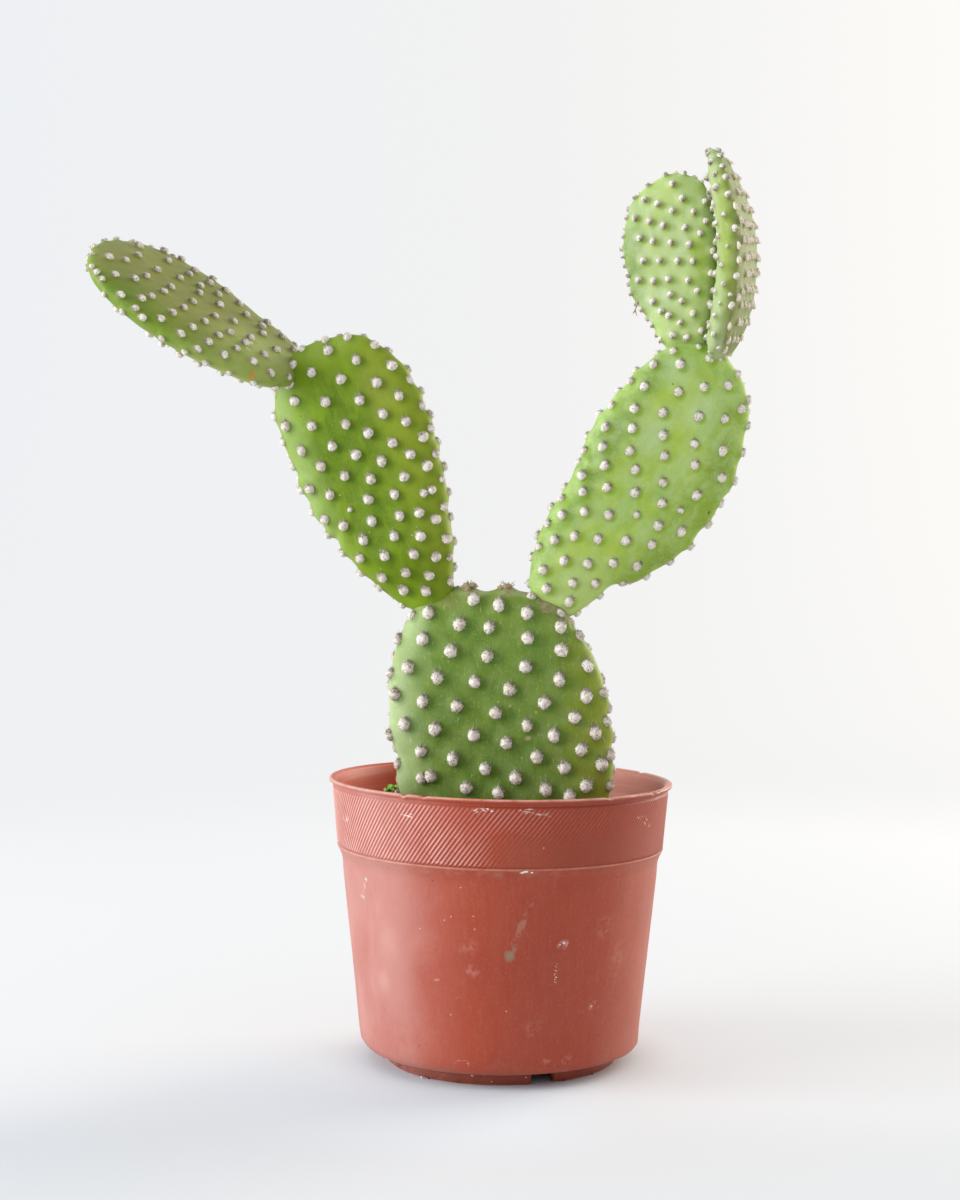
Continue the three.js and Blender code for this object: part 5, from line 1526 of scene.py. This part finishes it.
# ================================================================ stage, light and camera
def backdrop_material(name, floor):
    """The pale sweep behind the object. Near the object it is a pale floor that also glows a little behind and beside
    the object, a painted light; further out it only glows, cooler to the left and warmer to the right.
    """
    k = Nodes(name)
    sep = k.nt.nodes.new("ShaderNodeSeparateXYZ")
    geo = k.nt.nodes.new("ShaderNodeNewGeometry")
    k.link(geo.outputs["Position"], sep.inputs[0])
    x, y, z = sep.outputs
    # painted light: the sweep's glow is cooler to the left and warmer to the right, standing in for the two windows
    across = k.ramp(x, -0.75, 0.7, soft=False)
    glow = k.mix(k.ramp(across, 0.0, 0.55, soft=False), (0.845, 0.872, 0.905), (0.885, 0.885, 0.885))
    glow = k.mix(k.ramp(across, 0.5, 1.0), glow, (1.0, 0.985, 0.95))
    emit = k.nt.nodes.new("ShaderNodeEmission")
    k.link(glow, emit.inputs["Color"])
    out = k.nt.nodes["Material Output"]
    if not floor:
        k.nt.links.new(emit.outputs[0], out.inputs["Surface"])
        return k.mat
    r = k.math("SQRT", k.add(k.mul(x, x), k.mul(y, y)))
    pale = k.mix(k.noise(6, 2, 0.5), (0.685, 0.69, 0.70), (0.67, 0.675, 0.685))
    # painted shade: the floor darker in front of the pot
    pale = k.mix(k.ramp(y, -0.04, -0.11), pale, (0.625, 0.632, 0.645))
    # painted shade: cooler and bluer close to the pot on its front left, to cancel its red light thrown back and to
    # tint its shadow
    k.set(Base_Color=k.mix(k.mul(k.ramp(r, 0.12, 0.06), k.ramp(y, 0.02, -0.02), k.ramp(x, 0.045, 0.0)), pale, (0.65, 0.70, 0.735)))
    k.bsdf.inputs["Roughness"].default_value = 0.9
    k.bsdf.inputs["Specular IOR Level"].default_value = 0.1
    # painted light: close to the pot the floor partly glows, more behind and beside it than in front
    near = k.mul(k.ramp(y, -0.055, -0.005, 0.08, 0.48), k.ramp(r, 0.034, 0.06))
    share = k.math("MAXIMUM", near, k.ramp(r, 0.2, 0.75))
    mix = k.nt.nodes.new("ShaderNodeMixShader")
    k.link(share, mix.inputs[0])
    k.nt.links.new(k.bsdf.outputs[0], mix.inputs[1])
    k.nt.links.new(emit.outputs[0], mix.inputs[2])
    k.nt.links.new(mix.outputs[0], out.inputs["Surface"])
    return k.mat


def turned_sheet(name, profile, cols, mat):
    V, Q = [], []
    a = np.linspace(0, TAU, cols, endpoint=False)
    for i, (r, z) in enumerate(profile):
        V.append(np.stack([r * np.sin(a), -r * np.cos(a), np.full(cols, z)], 1))
        if i:
            p, q = (i - 1) * cols + np.arange(cols), i * cols + np.arange(cols)
            Q.append(np.stack([p, np.roll(p, -1), np.roll(q, -1), q], 1))
    return make(name, np.vstack(V), [np.vstack(Q)], [mat])


floor = turned_sheet("floor", [(0.5, -0.05), (60, -0.05), (150, -0.05), (400, -0.05), (1000, -0.05)], 96, backdrop_material("pale floor", True))
bowl = [(1000, -0.05)] + [(1000 + 600 * math.sin(t), 600 - 600 * math.cos(t) - 0.05) for t in np.linspace(0.05, math.pi / 2, 16)] + [(1600, 3500), (400, 4200), (1, 4200)]
drop = turned_sheet("backdrop", bowl, 96, backdrop_material("pale sweep", False))
for ray in ("visible_diffuse", "visible_glossy", "visible_transmission", "visible_shadow"):
    setattr(drop, ray, False)

world = bpy.data.worlds.new("studio")
bpy.context.scene.world = world
world.use_nodes = True
world.node_tree.nodes["Background"].inputs["Color"].default_value = (0.93, 0.965, 1.0, 1)
world.node_tree.nodes["Background"].inputs["Strength"].default_value = 0.84


def area(name, at, aim, size, power, color):
    data = bpy.data.lights.new(name, "AREA")
    data.shape = "RECTANGLE"
    data.size, data.size_y = size
    data.energy = power
    data.color = color
    ob = bpy.data.objects.new(name, data)
    bpy.context.scene.collection.objects.link(ob)
    ob.location = at
    ob.rotation_mode = "QUATERNION"
    ob.rotation_quaternion = (Vector(aim) - Vector(at)).to_track_quat("-Z", "Y")
    ob.visible_camera = False
    return ob


area("window left", (-1.25, -0.3, 0.45), (0, 0, 0.14), (0.9, 0.8), 20.5, (0.94, 0.97, 1.0))
area("window right", (1.05, 0.75, 0.55), (0, 0, 0.15), (0.9, 0.8), 17.5, (1.0, 0.9, 0.77))

cam_data = bpy.data.cameras.new("camera")
cam = bpy.data.objects.new("camera", cam_data)
bpy.context.scene.collection.objects.link(cam)
cam.location = (-0.006664, -0.643758, 0.165153)
cam.rotation_euler = (math.radians(90 - 2.168), 0, 0)
cam_data.lens = 63
cam_data.sensor_width = 36
cam_data.clip_start, cam_data.clip_end = 0.01, 50
cam_data.dof.use_dof = False
bpy.context.scene.camera = cam
bpy.context.scene.view_settings.view_transform = "Standard"
bpy.context.scene.view_settings.look = "None"
